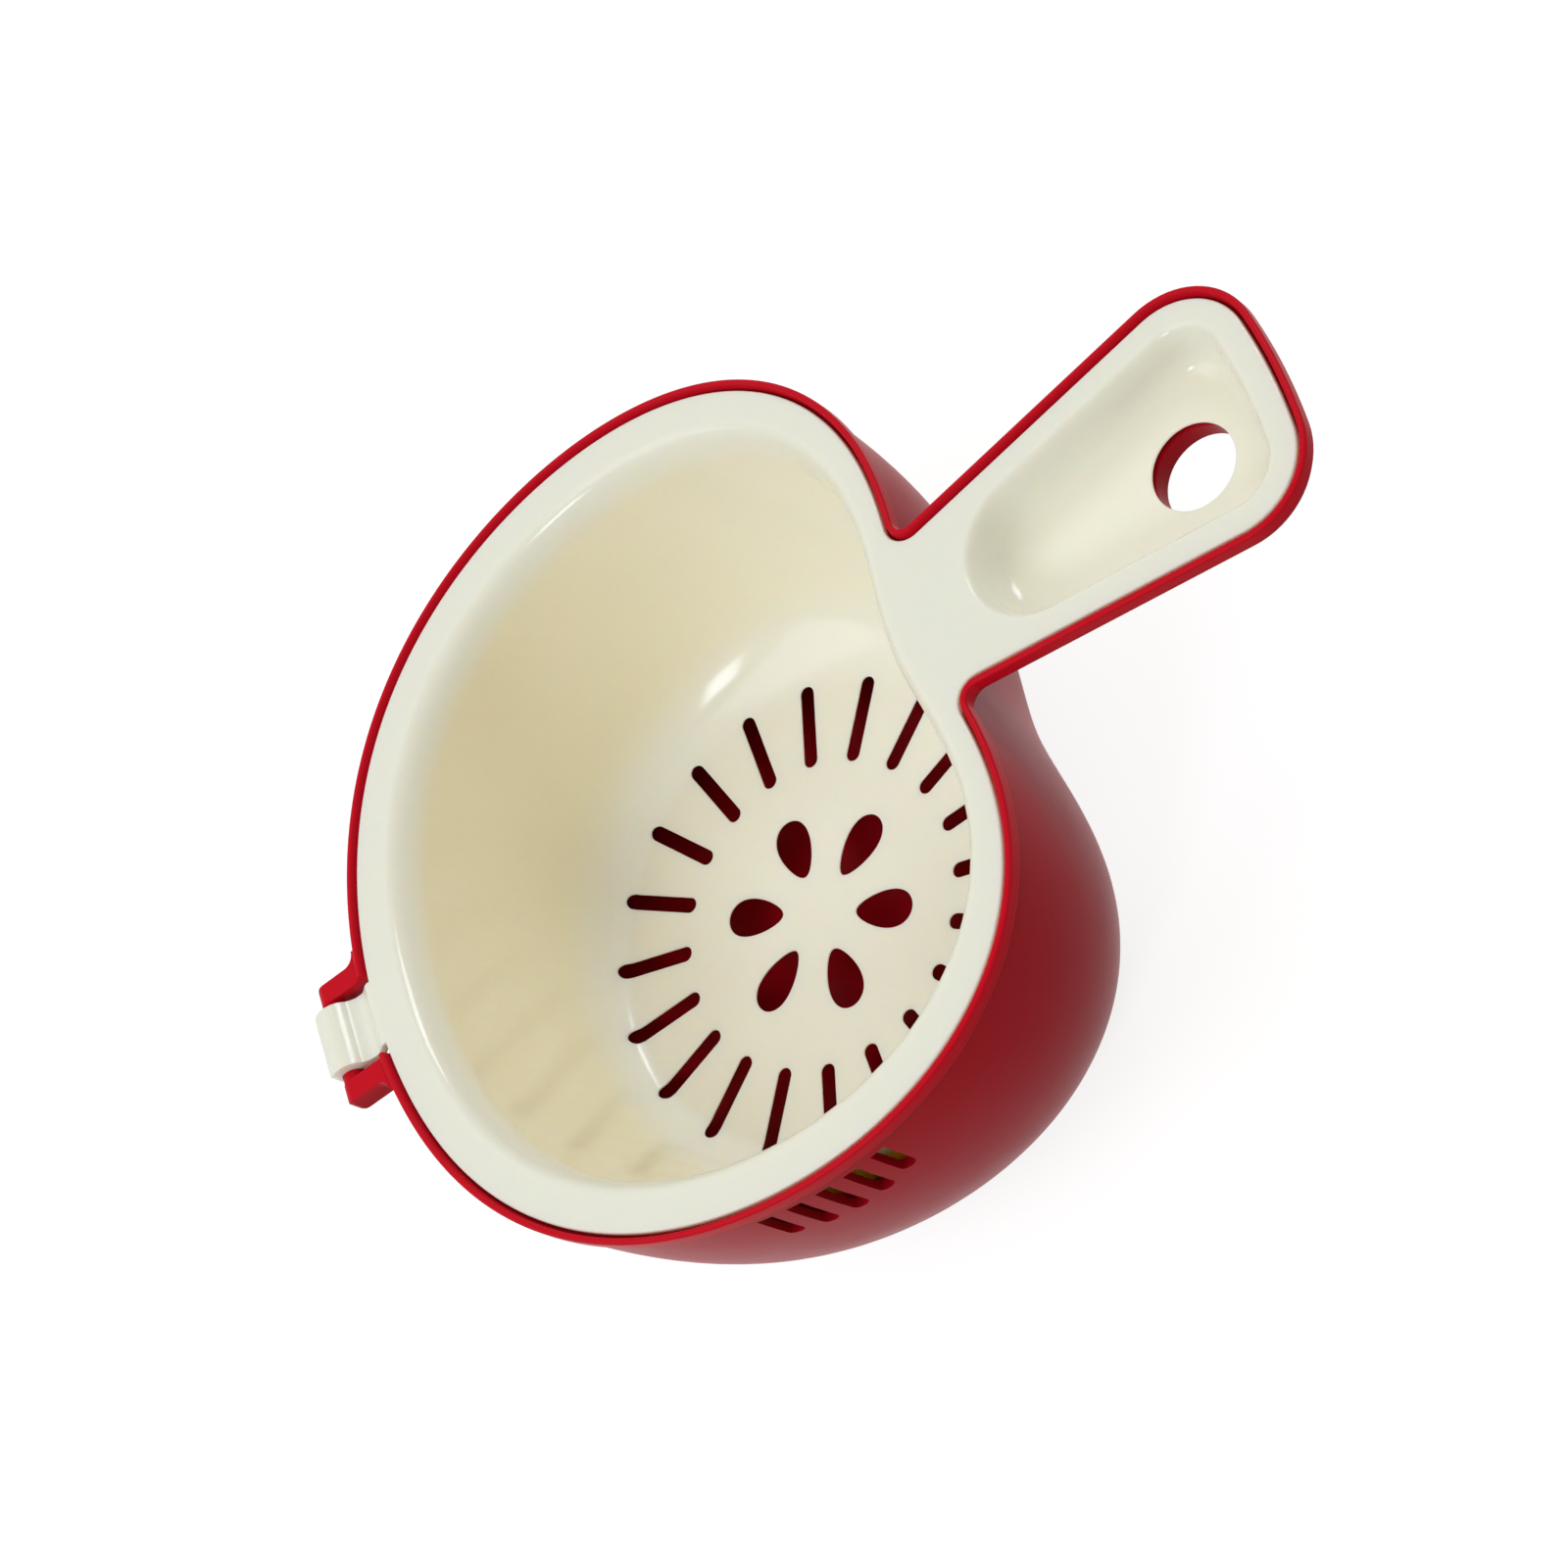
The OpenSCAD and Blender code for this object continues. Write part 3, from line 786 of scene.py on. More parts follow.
def make_slot_row_tree():
    """Cuts a row of slots: each is raised by the square of its place from the middle."""
    tree, given, result = new_piece_tree(
        "drain_slot_row",
        ("Slot", "Object"),
        ("Count", "Int"),
        *floats("Pitch", "Rise", "Top"),
    )
    index = tree.nodes.new("GeometryNodeInputIndex").outputs[0]
    middle = product(tree, 0.5, calc(tree, "SUBTRACT", given["Count"], 1.0))
    step = calc(tree, "SUBTRACT", index, middle)
    place = vector_of(
        tree,
        x=product(tree, step, given["Pitch"]),
        z=product(tree, step, step, given["Rise"]),
    )
    cutters, parts = real_copies(tree, given, "Slot", place)
    top = calc(tree, "MINIMUM", parts["Z"], given["Top"])
    level = vector_of(tree, parts["X"], parts["Y"], top)
    cut_away(tree, given, result, cutters, "Position", level)
    return tree


slot_c = Vector((DRAIN_X, DRAIN_TOP - DRAIN_LEN + DRAIN_W / 2))
drain_slot = side_prism(
    "drain_slot_core",
    arc(slot_c, DRAIN_W / 2, 180, 360, 16)
    + [Vector((DRAIN_X + side * DRAIN_W / 2, DRAIN_TOP)) for side in (1, -1)],
    *DRAIN_CUT,
)
run_tree(
    bowl,
    make_slot_row_tree(),
    {
        "Slot": drain_slot,
        "Count": DRAIN_COUNT,
        "Pitch": DRAIN_PITCH * MM,
        "Rise": DRAIN_FALL * MM,
        "Top": DRAIN_TOP * MM,
        "Plastic": bowl_plastic,
    },
)
bpy.data.objects.remove(drain_slot)

# ---------------------------------------------------------------- bowl finish
# The bowl is coloured in the mass with a red pigment. Its skin is satin from the mould, and its
# lip and band carry painted light: a lighter red than the wall's.

# Heights and ends of the painted warm shade on the strainer's walls. It fades in above the floor
# and is strongest at the hinge end.
PAINTED_SHADE_LOW = 11.5
PAINTED_SHADE_HIGH = 26.0
PAINTED_SHADE_FRONT = 62.0
PAINTED_SHADE_BACK = -35.0
PAINTED_SHADE_LEAST = 0.35  # share of the painted warm shade that is left at the stem's end
SPECK_SCALE = 90.0
SPECK_SIZE = 0.035
SPECK_DEPTH = 0.55
SPECK_COLOR = (0.16, 0.1, 0.05, 1.0)
CLOUD_LIMITS = (0.3, 0.7)  # the clouds are cut off here, softly
CLOUD_SOFTNESS = 0.05
WEAR_SCALE = 55.0
STIR_SCALE = 45.0
SKIN_SCALE = 1500.0
SKIN_RELIEF = 0.01
SAME_PLACE = 1e-7
SHARP_FROM = 32  # degrees between two faces that make a real corner


def mixed(tree, factor, base, other, kind="MIX"):
    """One colour over another. Either may be a socket or a plain colour."""
    values = {"Factor": factor, "A": base, "B": other}
    node = new_node(tree, "ShaderNodeMix", values, data_type="RGBA", blend_type=kind)
    return node.outputs["Result"]


def make_pigment_and_light_group():
    """Pigment clouds, specks, a brim set apart by painted light, painted warm shade on the
    walls, uneven gloss and a fine skin.
    """
    tree, given, result = new_tree(
        "moulded_pigment_and_painted_light",
        "ShaderNodeTree",
        [(title, "Color") for title in ("Pale", "Deep", "Painted Brim Tone", "Painted Warm Shade")]
        + floats("Cloud Size", "Roughness Low", "Roughness High", "Speck Share")
        + floats("Brim Low", "Brim High", "Painted Shade Share"),
        [("Color", "Color")] + floats("Roughness", "Height"),
    )
    where = tree.nodes.new("ShaderNodeTexCoord").outputs["Object"]
    parts = new_node(tree, "ShaderNodeSeparateXYZ", {"Vector": where}).outputs

    def noise(scale, detail, rough=0.5):
        values = {"Scale": scale, "Detail": detail, "Roughness": rough, "Vector": where}
        return new_node(tree, "ShaderNodeTexNoise", values).outputs["Fac"]

    def ramp(axis, start, end):
        values = {"Value": parts[axis], "From Min": start, "From Max": end}
        return new_node(
            tree, "ShaderNodeMapRange", values, interpolation_type="SMOOTHSTEP"
        ).outputs["Result"]

    clouds = noise(calc(tree, "DIVIDE", 1.0, given["Cloud Size"]), 3.0)
    clouds = calc(tree, "SMOOTH_MAX", clouds, CLOUD_LIMITS[0], CLOUD_SOFTNESS)
    clouds = calc(tree, "SMOOTH_MIN", clouds, CLOUD_LIMITS[1], CLOUD_SOFTNESS)
    pigment = mixed(tree, clouds, given["Pale"], given["Deep"])
    # Painted light: above the brim's lower height the brim takes its own tone. On the bowl this
    # is a lighter red lip. On the strainer it is the flange's greyer cream, against the lighter
    # cream painted below it.
    painted_brim = ramp("Z", given["Brim Low"], given["Brim High"])
    # Painted warm shade on the walls, between two heights and under the brim. It is strongest
    # towards the hinge end (-X) and fainter towards the stem.
    side = ramp("X", PAINTED_SHADE_FRONT * MM, PAINTED_SHADE_BACK * MM)
    wall = product(
        tree,
        given["Painted Shade Share"],
        calc(tree, "SUBTRACT", 1.0, painted_brim),
        ramp("Z", PAINTED_SHADE_LOW * MM, PAINTED_SHADE_HIGH * MM),
        calc(tree, "MULTIPLY_ADD", side, 1.0 - PAINTED_SHADE_LEAST, PAINTED_SHADE_LEAST),
    )
    body = mixed(tree, wall, pigment, given["Painted Warm Shade"], "MULTIPLY")
    body = mixed(tree, painted_brim, body, given["Painted Brim Tone"])
    cells = {"Scale": SPECK_SCALE, "Vector": where}
    specks = new_node(tree, "ShaderNodeTexVoronoi", cells)
    draw = calc(tree, "FRACT", product(tree, 7.31, specks.outputs["Color"]))
    lone = product(
        tree,
        calc(tree, "LESS_THAN", specks.outputs["Distance"], SPECK_SIZE),
        calc(tree, "LESS_THAN", draw, given["Speck Share"]),
        SPECK_DEPTH,
    )
    tree.links.new(mixed(tree, lone, body, SPECK_COLOR), result["Color"])
    low = given["Roughness Low"]
    spread = calc(tree, "SUBTRACT", given["Roughness High"], low)
    wear = calc(tree, "MULTIPLY_ADD", spread, noise(WEAR_SCALE, 4.0, 0.6), low)
    tree.links.new(wear, result["Roughness"])
    tree.links.new(noise(SKIN_SCALE, 2.0), result["Height"])
    return tree


pigment_and_light_group = make_pigment_and_light_group()


def make_flow_group():
    """Rings left where the melt slowed down as it filled the mould, fading with distance."""
    tree, given, result = new_tree(
        "flow_marks",
        "ShaderNodeTree",
        [("Centre", "Vector")] + floats("Ring Spacing", "Reach", "Wobble"),
        floats("Mask"),
    )
    where = tree.nodes.new("ShaderNodeTexCoord").outputs["Object"]
    stirred = {"Scale": STIR_SCALE, "Detail": 2.0, "Vector": where}
    stir = new_node(tree, "ShaderNodeTexNoise", stirred)
    gap = new_node(tree, "ShaderNodeVectorMath", {}, operation="DISTANCE")
    feed(tree, gap.inputs[0], where)
    feed(tree, gap.inputs[1], given["Centre"])
    away = gap.outputs["Value"]
    shift = calc(tree, "SUBTRACT", stir.outputs["Fac"], 0.5)
    warped = total_of(tree, away, product(tree, given["Wobble"], shift))
    rings = product(tree, 2 * math.pi, warped)
    phase = calc(tree, "DIVIDE", rings, given["Ring Spacing"])
    wave = calc(tree, "MULTIPLY_ADD", calc(tree, "SINE", phase), 0.5, 0.5)
    wave = calc(tree, "POWER", wave, 4.0)
    fade = calc(tree, "DIVIDE", away, given["Reach"])
    fade = calc(tree, "MAXIMUM", 0.0, calc(tree, "SUBTRACT", 1.0, fade))
    tree.links.new(product(tree, wave, fade), result["Mask"])
    return tree


flow_group = make_flow_group()


def mould_plastic(material, pigment, flow, flow_color, flow_depth, bump, shader_values):
    """A glossy moulded plastic: clouded pigment, the painted light and shade of the pigment
    group, faint flow marks and a fine skin.
    """
    material.use_nodes = True
    tree = material.node_tree
    # The pigment values hold the painted brim tone and painted warm shade as well as the
    # pigment.
    skin = group_node(tree, pigment_and_light_group, pigment)
    marks = group_node(tree, flow_group, flow)
    depth = product(tree, flow_depth, marks["Mask"])
    values = {"Strength": bump, "Distance": SKIN_RELIEF * MM, "Height": skin["Height"]}
    relief = new_node(tree, "ShaderNodeBump", values)
    shader_values["Base Color"] = mixed(tree, depth, skin["Color"], flow_color)
    shader_values["Roughness"] = skin["Roughness"]
    shader_values["Normal"] = relief.outputs["Normal"]
    for title, value in shader_values.items():
        feed(tree, tree.nodes["Principled BSDF"].inputs[title], value)


def dress(piece, plastic, body, slot, *cad_nodes):
    """Smooths a moulding up to its real corners and puts it in the CAD nodes' place."""
    mesh = piece.data
    mesh.materials.clear()
    mesh.materials.append(plastic)
    work = bmesh.new()
    work.from_mesh(mesh)
    bmesh.ops.remove_doubles(work, verts=work.verts, dist=SAME_PLACE)
    bmesh.ops.recalc_face_normals(work, faces=work.faces)
    for face in work.faces:
        face.smooth = True
        face.material_index = 0
    for edge in work.edges:
        edge.smooth = edge.calc_face_angle(0.0) < math.radians(SHARP_FROM)
    work.to_mesh(mesh)
    work.free()
    modifier = piece.modifiers.new("flat_faces_lead", "WEIGHTED_NORMAL")
    modifier.keep_sharp = True
    settle(piece)
    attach(piece, body)
    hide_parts(*cad_nodes)


mould_plastic(
    bowl_plastic,
    {
        "Pale": (0.43, 0.004, 0.013, 1.0),
        "Deep": (0.37, 0.003, 0.010, 1.0),
        "Cloud Size": 0.05,
        "Roughness Low": 0.26,
        "Roughness High": 0.40,
        "Speck Share": 0.0,
        # Painted light: the lip and its band are painted a lighter red than the wall.
        "Painted Brim Tone": (0.56, 0.005, 0.016, 1.0),
        "Brim Low": 0.0665,
        "Brim High": 0.0692,
        "Painted Shade Share": 0.0,
    },
    {"Centre": (0.105, 0.0, 0.05), "Ring Spacing": 0.011, "Reach": 0.06, "Wobble": 0.012},
    flow_color=(0.47, 0.02, 0.03, 1.0),
    flow_depth=0.12,
    bump=0.25,
    shader_values={"IOR": 1.49, "Specular IOR Level": 0.05},
)
dress(
    bowl,
    bowl_plastic,
    "outer_bowl",
    "bowl_plastic",
    "bowl",
    "bowl_handle",
    "hinge_lugs",
    "hinge_pin",
)

# ---------------------------------------------------------------- strainer basket
# The inner strainer: a cream polypropylene moulding of the same apple outline, 1.8 mm
# thick, that hangs in the bowl by its wide flange. The flange rolls over into the
# basket's wall, which runs down into a flat round floor.

FLANGE_T = 1.8
FLANGE_W = 11.0
FLANGE_RELIEF = 3.5
FLANGE_ROUND = 0.5
FLANGE_LOW_ROUND = 0.4
FLANGE_BITE = 0.9  # how far outsides of hollows run up into the flange
MOUTH_ROLL = 4.0
MOUTH_DROP = 8.0
STRAINER_WALL = 1.8
STRAINER_FLOOR_Z = 11.0
FLOOR_R = 46.5
BASKET_FULLNESS = 2.1
MOUTH = dict(
    APPLE,
    Radius=APPLE["Radius"] - FLANGE_W,
    Dimple=APPLE["Dimple"] - FLANGE_RELIEF,
)


def basket_body(name, wall, floor_z, top_z, drop, over):
    """The basket's outside or its hollow: flat floor, wall and the roll of its mouth."""
    low = top_z - drop
    stations = side_stations(wall, floor_z, low, BASKET_FULLNESS)
    for c, s in quarter(12)[1:]:
        stations.append((1.0, wall + MOUTH_ROLL * (1 - c), low + drop * s))
    stations.append((1.0, wall + MOUTH_ROLL, top_z + over))
    return apple_body(name, stations, MOUTH, FLOOR_R, 0.0, strainer_plastic)


strainer_plastic = bpy.data.materials.new("cream_polypropylene")
strainer = rim_body(
    "strainer_moulding",
    low_round(0.0, FLANGE_Z - FLANGE_T, FLANGE_LOW_ROUND, 3)
    + top_round(0.0, FLANGE_Z, FLANGE_ROUND, 5),
)
basket = basket_body(
    "basket_outside",
    STRAINER_WALL,
    STRAINER_FLOOR_Z - STRAINER_WALL,
    FLANGE_Z - FLANGE_T,
    MOUTH_ROLL,
    FLANGE_BITE,
)
basket_inside = basket_body(
    "basket_inside", 0.0, STRAINER_FLOOR_Z, FLANGE_Z, MOUTH_DROP, CUT_PAST
)

# ---------------------------------------------------------------- strainer handle
# The flange carries on into the handle, whose dish takes the thumb. A hole in the
# dish's floor lies over the bowl's collar so that one hook holds both layers.

STRAINER_HANG_D = 16.8
HOLE_ROUND = 0.3
HOLE_LAND = 0.4
HOLE_FLARE = 1.1
dish = dish_body(
    "thumb_dish_outside",
    FLANGE_T / 2,
    DISH_FLOOR_Z - FLANGE_T,
    FLANGE_Z - FLANGE_T,
    FLANGE_BITE,
    DISH_FORM,
)
dish_inside = dish_body("thumb_dish", 0.0, DISH_FLOOR_Z, FLANGE_Z, CUT_PAST, DISH_FORM)
dish_skin = BVHTree.FromPolygons(
    [vertex.co for vertex in dish_inside.data.vertices],
    [face.vertices for face in dish_inside.data.polygons],
)


def dish_height(p):
    """Height of the dish's hollow under a point of the handle."""
    return dish_skin.ray_cast(Vector((p.x * MM, p.y * MM, 0.0)), Vector((0, 0, 1)))[0].z / MM


hole_r = STRAINER_HANG_D / 2
hole_rows = [
    (hole_r + HOLE_FLARE, DISH_FLOOR_Z - 2 * FLANGE_T),
    (hole_r + HOLE_FLARE, DISH_FLOOR_Z - FLANGE_T),
    (hole_r, DISH_FLOOR_Z - HOLE_LAND),
]
for c, s in quarter(5):
    radius = hole_r + HOLE_ROUND * (1 - c)
    ring = circle(Vector((HANG_X, 0.0)), radius)
    hole_rows.append((radius, [dish_height(p) - HOLE_ROUND * (1 - s) for p in ring]))
hole_rows.append((hole_r + HOLE_ROUND, FLANGE_Z + 2 * CUT_PAST))
hook_hole = hanging_body("hook_hole", hole_rows)

# ---------------------------------------------------------------- hinge tongue
# Opposite the handle a springy tongue leaves the flange, dips across the rim and
# curls over the bowl's pin. Its hook is open below, so it snaps on and off.

PIN_FIT = 0.08
HOOK_WALL = 2.2
HOOK_R = PIN_D / 2 + PIN_FIT + HOOK_WALL
HOOK_ROUND = 3.2
SNAP_SHARE = 0.8  # width of the hook's opening as a share of the pin
SNAP_W = PIN_D * SNAP_SHARE
TONGUE_T = 1.9
TONGUE_DIP = 1.8
TONGUE_FALL = 1.8 * TONGUE_T  # run over which the tongue dips
TONGUE_CLIMB = 1.4 * HOOK_R  # run over which it rises to the hook
TONGUE_EDGE = 0.6
TONGUE_STEPS = 48
MASK_REACH = 9.0  # how far the plan's mask reaches over and under the pin


def tongue_top(x):
    """Height of the tongue's upper face: level, down across the rim, up to the hook."""
    fall = min(1.0, max(0.0, (FLANGE_END_X - x) / TONGUE_FALL))
    climb = min(1.0, max(0.0, 1 - (x - PIN_X) / TONGUE_CLIMB))
    ease_down = (1 - math.cos(math.pi * fall)) / 2
    ease_up = (1 - math.cos(math.pi * climb)) / 2
    return (
        FLANGE_Z - TONGUE_DIP * ease_down
        + (TONGUE_DIP + PIN_Z + HOOK_R - FLANGE_Z) * ease_up
    )


root_x = FLANGE_END_X + FLANGE_W / 2
spine = [root_x + (PIN_X - root_x) * i / TONGUE_STEPS for i in range(TONGUE_STEPS + 1)]
top_line = [Vector((x, tongue_top(x))) for x in spine]
low_line = [Vector((p.x, p.y - TONGUE_T)) for p in reversed(top_line)]
half_w = TONGUE_W / 2
tongue = cross_bar("tongue", top_line + low_line, half_w)
curl = cross_bar("hook_curl", circle(PIN_C, HOOK_R), half_w)
pin_bore = cross_bar("pin_bore", circle(PIN_C, PIN_D / 2 + PIN_FIT), TONGUE_W)
gap = box(PIN_X - SNAP_W / 2, PIN_Z - HOOK_R - CUT_PAST, PIN_X + SNAP_W / 2, PIN_Z)
snap_gap = cross_bar("snap_gap", gap, TONGUE_W)
mask_x = root_x + CUT_PAST
tip_x = PIN_X - HOOK_R + HOOK_ROUND
tip_y = half_w - HOOK_ROUND
tongue_plan = [Vector((mask_x, -half_w)), Vector((mask_x, half_w))]
tongue_plan += arc(Vector((tip_x, tip_y)), HOOK_ROUND, 90, 180, 12)
tongue_plan += arc(Vector((tip_x, -tip_y)), HOOK_ROUND, 180, 270, 12)
tongue_mask = loft(
    "tongue_plan",
    [(tongue_plan, PIN_Z - MASK_REACH), (tongue_plan, PIN_Z + MASK_REACH)],
)
boolean(
    tongue,
    ("UNION", curl),
    ("INTERSECT", tongue_mask),
    ("DIFFERENCE", pin_bore, snap_gap),
)
soften(tongue, TONGUE_EDGE)
boolean(
    strainer,
    ("UNION", basket, dish, tongue),
    ("DIFFERENCE", basket_inside, dish_inside, hook_hole),
)

# ---------------------------------------------------------------- floor openings
# Water leaves through twenty radial slots round the floor's edge and six seed-shaped
# holes that make the cut apple's core. The slots' outer ends climb the foot of the
# wall. Every opening has a rounded upper edge and widens downwards under a thin land.

RAY_COUNT = 20
RAY_W = 3.2
RAY_IN = 31.7
RAY_OUT = 49.6
SEED_COUNT = 6
SEED_W = 7.7
SEED_LEAN = 0.3  # how much fuller a seed is towards its outer end
SEED_IN = 8.9
SEED_OUT = 22.4
EDGE_ROUND = 0.2
OVER_FLOOR = 0.4
UNDER_FLOOR = 8.0
OPENING_LAND = 0.35  # straight part of an opening's edge, below which it widens
OPENING_FLARE = 1.3


def make_openings_tree():
    """Cuts one opening many times round the floor; its upper edge follows the wall's foot."""
    tree, given, result = new_piece_tree(
        "floor_openings",
        ("Opening", "Object"),
        ("Count", "Int"),
        *floats("First Turn", "Floor Radius", "Wall Rise", "Fullness", *APPLE),
    )
    index = tree.nodes.new("GeometryNodeInputIndex").outputs[0]
    pitch = calc(tree, "DIVIDE", 2 * math.pi, given["Count"])
    angle = calc(tree, "MULTIPLY_ADD", index, pitch, given["First Turn"])
    turned = vector_of(tree, z=angle)
    cutters, parts = real_copies(tree, given, "Opening", turn=turned)
    x, y, _ = parts
    radius, _ = apple_rule(tree, given, calc(tree, "ARCTAN2", y, x))
    floor = given["Floor Radius"]
    away = calc(tree, "SUBTRACT", length_of(tree, x, y), floor)
    run = calc(tree, "DIVIDE", away, calc(tree, "SUBTRACT", radius, floor))
    run = calc(tree, "MAXIMUM", 0.0, run)
    fullness = given["Fullness"]
    rest = calc(tree, "SUBTRACT", 1.0, calc(tree, "POWER", run, fullness))
    rest = calc(tree, "POWER", rest, calc(tree, "DIVIDE", 1.0, fullness))
    rise = product(
        tree,
        given["Wall Rise"],
        calc(tree, "SUBTRACT", 1.0, rest),
        attribute_of(tree, "follow"),
    )
    cut_away(tree, given, result, cutters, "Offset", vector_of(tree, z=rise))
    return tree


openings_tree = make_openings_tree()


def slot_outline(grow):
    """A radial slot with round ends, its straight sides divided so they can bend."""
    steps = 14
    near, far = RAY_IN + RAY_W / 2, RAY_OUT - RAY_W / 2
    reach = RAY_W / 2 + grow
    run = [(near - far) * i / steps for i in range(1, steps)]
    outline = arc(Vector((far, 0.0)), reach, -90, 90, 12)
    outline += [Vector((far + step, reach)) for step in run]
    outline += arc(Vector((near, 0.0)), reach, 90, 270, 12)
    outline += [Vector((near - step, -reach)) for step in run]
    return outline


def seed_outline(grow):
    """A seed: an oval that is fuller towards the floor's edge and finer towards its middle."""
    steps = 64
    long, wide = (SEED_OUT - SEED_IN) / 2, SEED_W / 2
    outline = []
    for i in range(steps):
        a = 2 * math.pi * i / steps
        c, s = math.cos(a), math.sin(a)
        place = Vector((SEED_IN + long * (1 + c), wide * s * (1 + SEED_LEAN * c)))
        outward = Vector((wide * (c + SEED_LEAN * math.cos(2 * a)), long * s))
        outline.append(place + grow * outward.normalized())
    return outline


def opening_core(name, outline_of):
    """The cutter of one opening: a rounded upper edge, and sides that widen downwards."""
    rows = [
        (OPENING_FLARE, STRAINER_FLOOR_Z - UNDER_FLOOR),
        (OPENING_FLARE, STRAINER_FLOOR_Z - STRAINER_WALL),
        (0.0, STRAINER_FLOOR_Z - OPENING_LAND),
        *edge_round(0.0, STRAINER_FLOOR_Z, EDGE_ROUND, 4),
        (EDGE_ROUND, STRAINER_FLOOR_Z + OVER_FLOOR),
    ]
    core = loft(name, [(outline_of(grow), z) for grow, z in rows])
    around = len(outline_of(0.0))
    place_values(core, "follow", [0.0] * around + [1.0] * around * (len(rows) - 1))
    return core


for core, count, first in (
    (opening_core("floor_slot_core", slot_outline), RAY_COUNT, 0.0),
    (opening_core("seed_hole_core", seed_outline), SEED_COUNT, math.pi / SEED_COUNT),
):
    values = {
        **in_metres(MOUTH),
        "Opening": core,
        "Count": count,
        "First Turn": first,
        "Floor Radius": FLOOR_R * MM,
        "Wall Rise": (FLANGE_Z - MOUTH_DROP - STRAINER_FLOOR_Z) * MM,
        "Fullness": BASKET_FULLNESS,
        "Plastic": strainer_plastic,
    }
    run_tree(strainer, openings_tree, values)
    bpy.data.objects.remove(core)

# ---------------------------------------------------------------- strainer finish
# The strainer is cream, a little greyer on the flange. Below the flange the cream is painted
# lighter, and the basket's wall carries painted warm shade, more than its floor and most at the
# hinge end. Some light goes into the plastic, which softens the shadows.

mould_plastic(
    strainer_plastic,
    {
        # Painted light: the cream below the flange, painted lighter than the flange's own cream.
        "Pale": (0.94, 0.905, 0.80, 1.0),
        "Deep": (0.92, 0.875, 0.755, 1.0),
        "Cloud Size": 0.06,
        "Roughness Low": 0.10,
        "Roughness High": 0.19,
        "Speck Share": 0.012,
        # The flange's greyer cream, set apart from the lighter cream painted below it.
        "Painted Brim Tone": (0.83, 0.82, 0.71, 1.0),
        "Brim Low": 0.0600,
        "Brim High": 0.0695,
        # Painted warm shade on the basket's wall, and faintly in the dish.
        "Painted Warm Shade": (1.0, 0.93, 0.77, 1.0),
        "Painted Shade Share": 1.0,
    },
    {
        "Centre": (-0.040, -0.045, 0.030),
        "Ring Spacing": 0.006,
        "Reach": 0.03,
        "Wobble": 0.02,
    },
    flow_color=(0.62, 0.50, 0.33, 1.0),
    flow_depth=0.13,
    bump=0.2,
    shader_values={
        "IOR": 1.49,
        "Specular IOR Level": 0.4,
        "Subsurface Weight": 0.5,
        "Subsurface Radius": (1.0, 0.65, 0.3),
        "Subsurface Scale": 0.003,
    },
)
dress(
    strainer,
    strainer_plastic,
    "inner_strainer",
    "strainer_plastic",
    "strainer",
    "strainer_handle",
    "hinge_hook",
)

# ---------------------------------------------------------------- studio
# A floor and an air that look white wherever they are seen but light the basket less,
# the air a little warm. Three soft, cool lamps stand round it: the main lamp, one
# behind and one like a window.

FLOOR_SIZE = 6.0
FLOOR_Z = -0.0003
PAPER_GLOW = 0.8  # light the paper adds where it is seen, so that it looks white
AIR_LEAST = 0.56  # strength of the air as a light; it is 1 where it is seen
LAMP_REACH = 1.3
LAMP_COLOR = (0.83, 0.9, 1.0)


def visible_rays(tree):
    """One where the camera looks: directly, in a reflection or through glass."""
    path = tree.nodes.new("ShaderNodeLightPath").outputs
    seen = path["Is Camera Ray"], path["Is Glossy Ray"], path["Is Transmission Ray"]
    return chain(tree, "MAXIMUM", *seen)


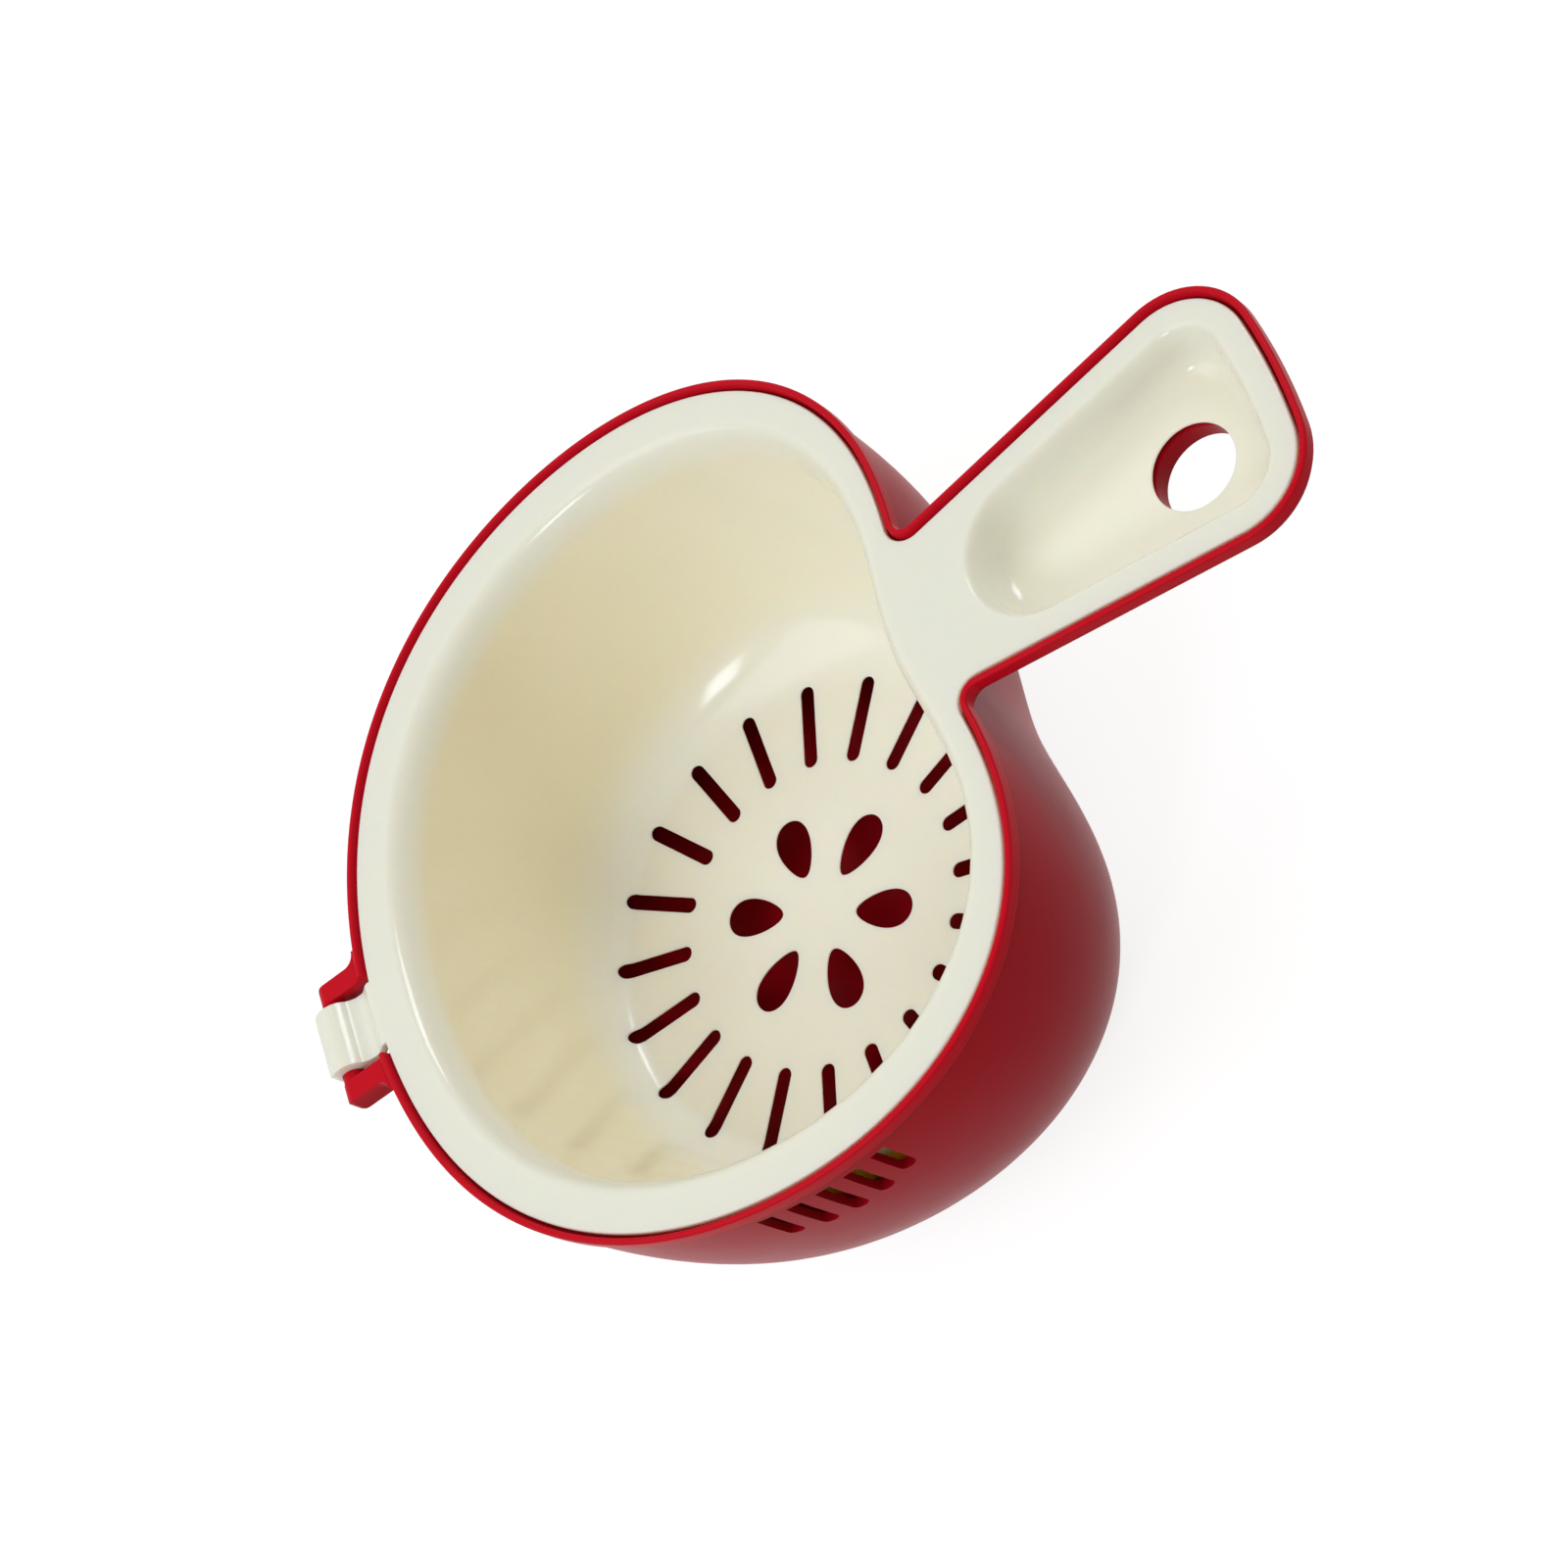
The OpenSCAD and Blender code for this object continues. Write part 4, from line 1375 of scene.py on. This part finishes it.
floor_mesh = bpy.data.meshes.new("studio_floor")
half = FLOOR_SIZE / 2
corners = ((-half, -half), (half, -half), (half, half), (-half, half))
floor_mesh.from_pydata([(x, y, FLOOR_Z) for x, y in corners], [], [(0, 1, 2, 3)])
floor = linked_object("studio_floor", floor_mesh)
paper = bpy.data.materials.new("studio_paper")
paper.use_nodes = True
paper_tree = paper.node_tree
for title, value in (
    ("Base Color", (0.35, 0.35, 0.35, 1.0)),
    ("Roughness", 1.0),
    ("Specular IOR Level", 0.0),
    ("Emission Color", (1.0, 1.0, 1.0, 1.0)),
    ("Emission Strength", product(paper_tree, PAPER_GLOW, visible_rays(paper_tree))),
):
    feed(paper_tree, paper_tree.nodes["Principled BSDF"].inputs[title], value)
floor_mesh.materials.append(paper)

world = bpy.data.worlds.new("studio_air")
bpy.context.scene.world = world
world.use_nodes = True
air_tree = world.node_tree
air = air_tree.nodes["Background"].inputs
seen = visible_rays(air_tree)
air_color = mixed(air_tree, seen, (1.0, 0.95, 0.86, 1.0), (1.0, 1.0, 1.0, 1.0))
feed(air_tree, air["Color"], air_color)
air_power = calc(air_tree, "MULTIPLY_ADD", 1 - AIR_LEAST, seen, AIR_LEAST)
feed(air_tree, air["Strength"], air_power)


BASKET_MIDDLE = Vector((0.02, 0.0, 0.04))


def soft_lamp(name, turn, rise, size, power):
    """A square lamp that stands some way round and above the basket and faces it."""
    light = bpy.data.lights.new(name, "AREA")
    light.shape = "SQUARE"
    light.size = size
    light.energy = power
    light.color = LAMP_COLOR
    flat, up = math.cos(math.radians(rise)), math.sin(math.radians(rise))
    place = Vector((flat * way(turn).x, flat * way(turn).y, up)) * LAMP_REACH
    place = BASKET_MIDDLE + place
    lamp = linked_object(name, light)
    lamp.location = place
    aim = BASKET_MIDDLE - place
    lamp.rotation_euler = aim.to_track_quat("-Z", "Y").to_euler()


soft_lamp("main_lamp", turn=-160, rise=50, size=0.9, power=4.9)
soft_lamp("back_lamp", turn=48, rise=38, size=0.42, power=4.7)
soft_lamp("window_lamp", turn=-110, rise=38, size=0.28, power=3.0)

camera_data = bpy.data.cameras.new("camera")
camera_data.lens = 81.92
camera_data.sensor_width = 36.0
camera = linked_object("camera", camera_data)
camera.matrix_world = Matrix(
    (
        (0.7577, 0.5402, 0.3661, 0.2677),
        (-0.2957, 0.7843, -0.5453, -0.3639),
        (-0.5818, 0.3049, 0.7540, 0.5565),
        (0.0, 0.0, 0.0, 1.0),
    )
)
bpy.context.scene.camera = camera
bpy.context.scene.view_settings.view_transform = "Standard"
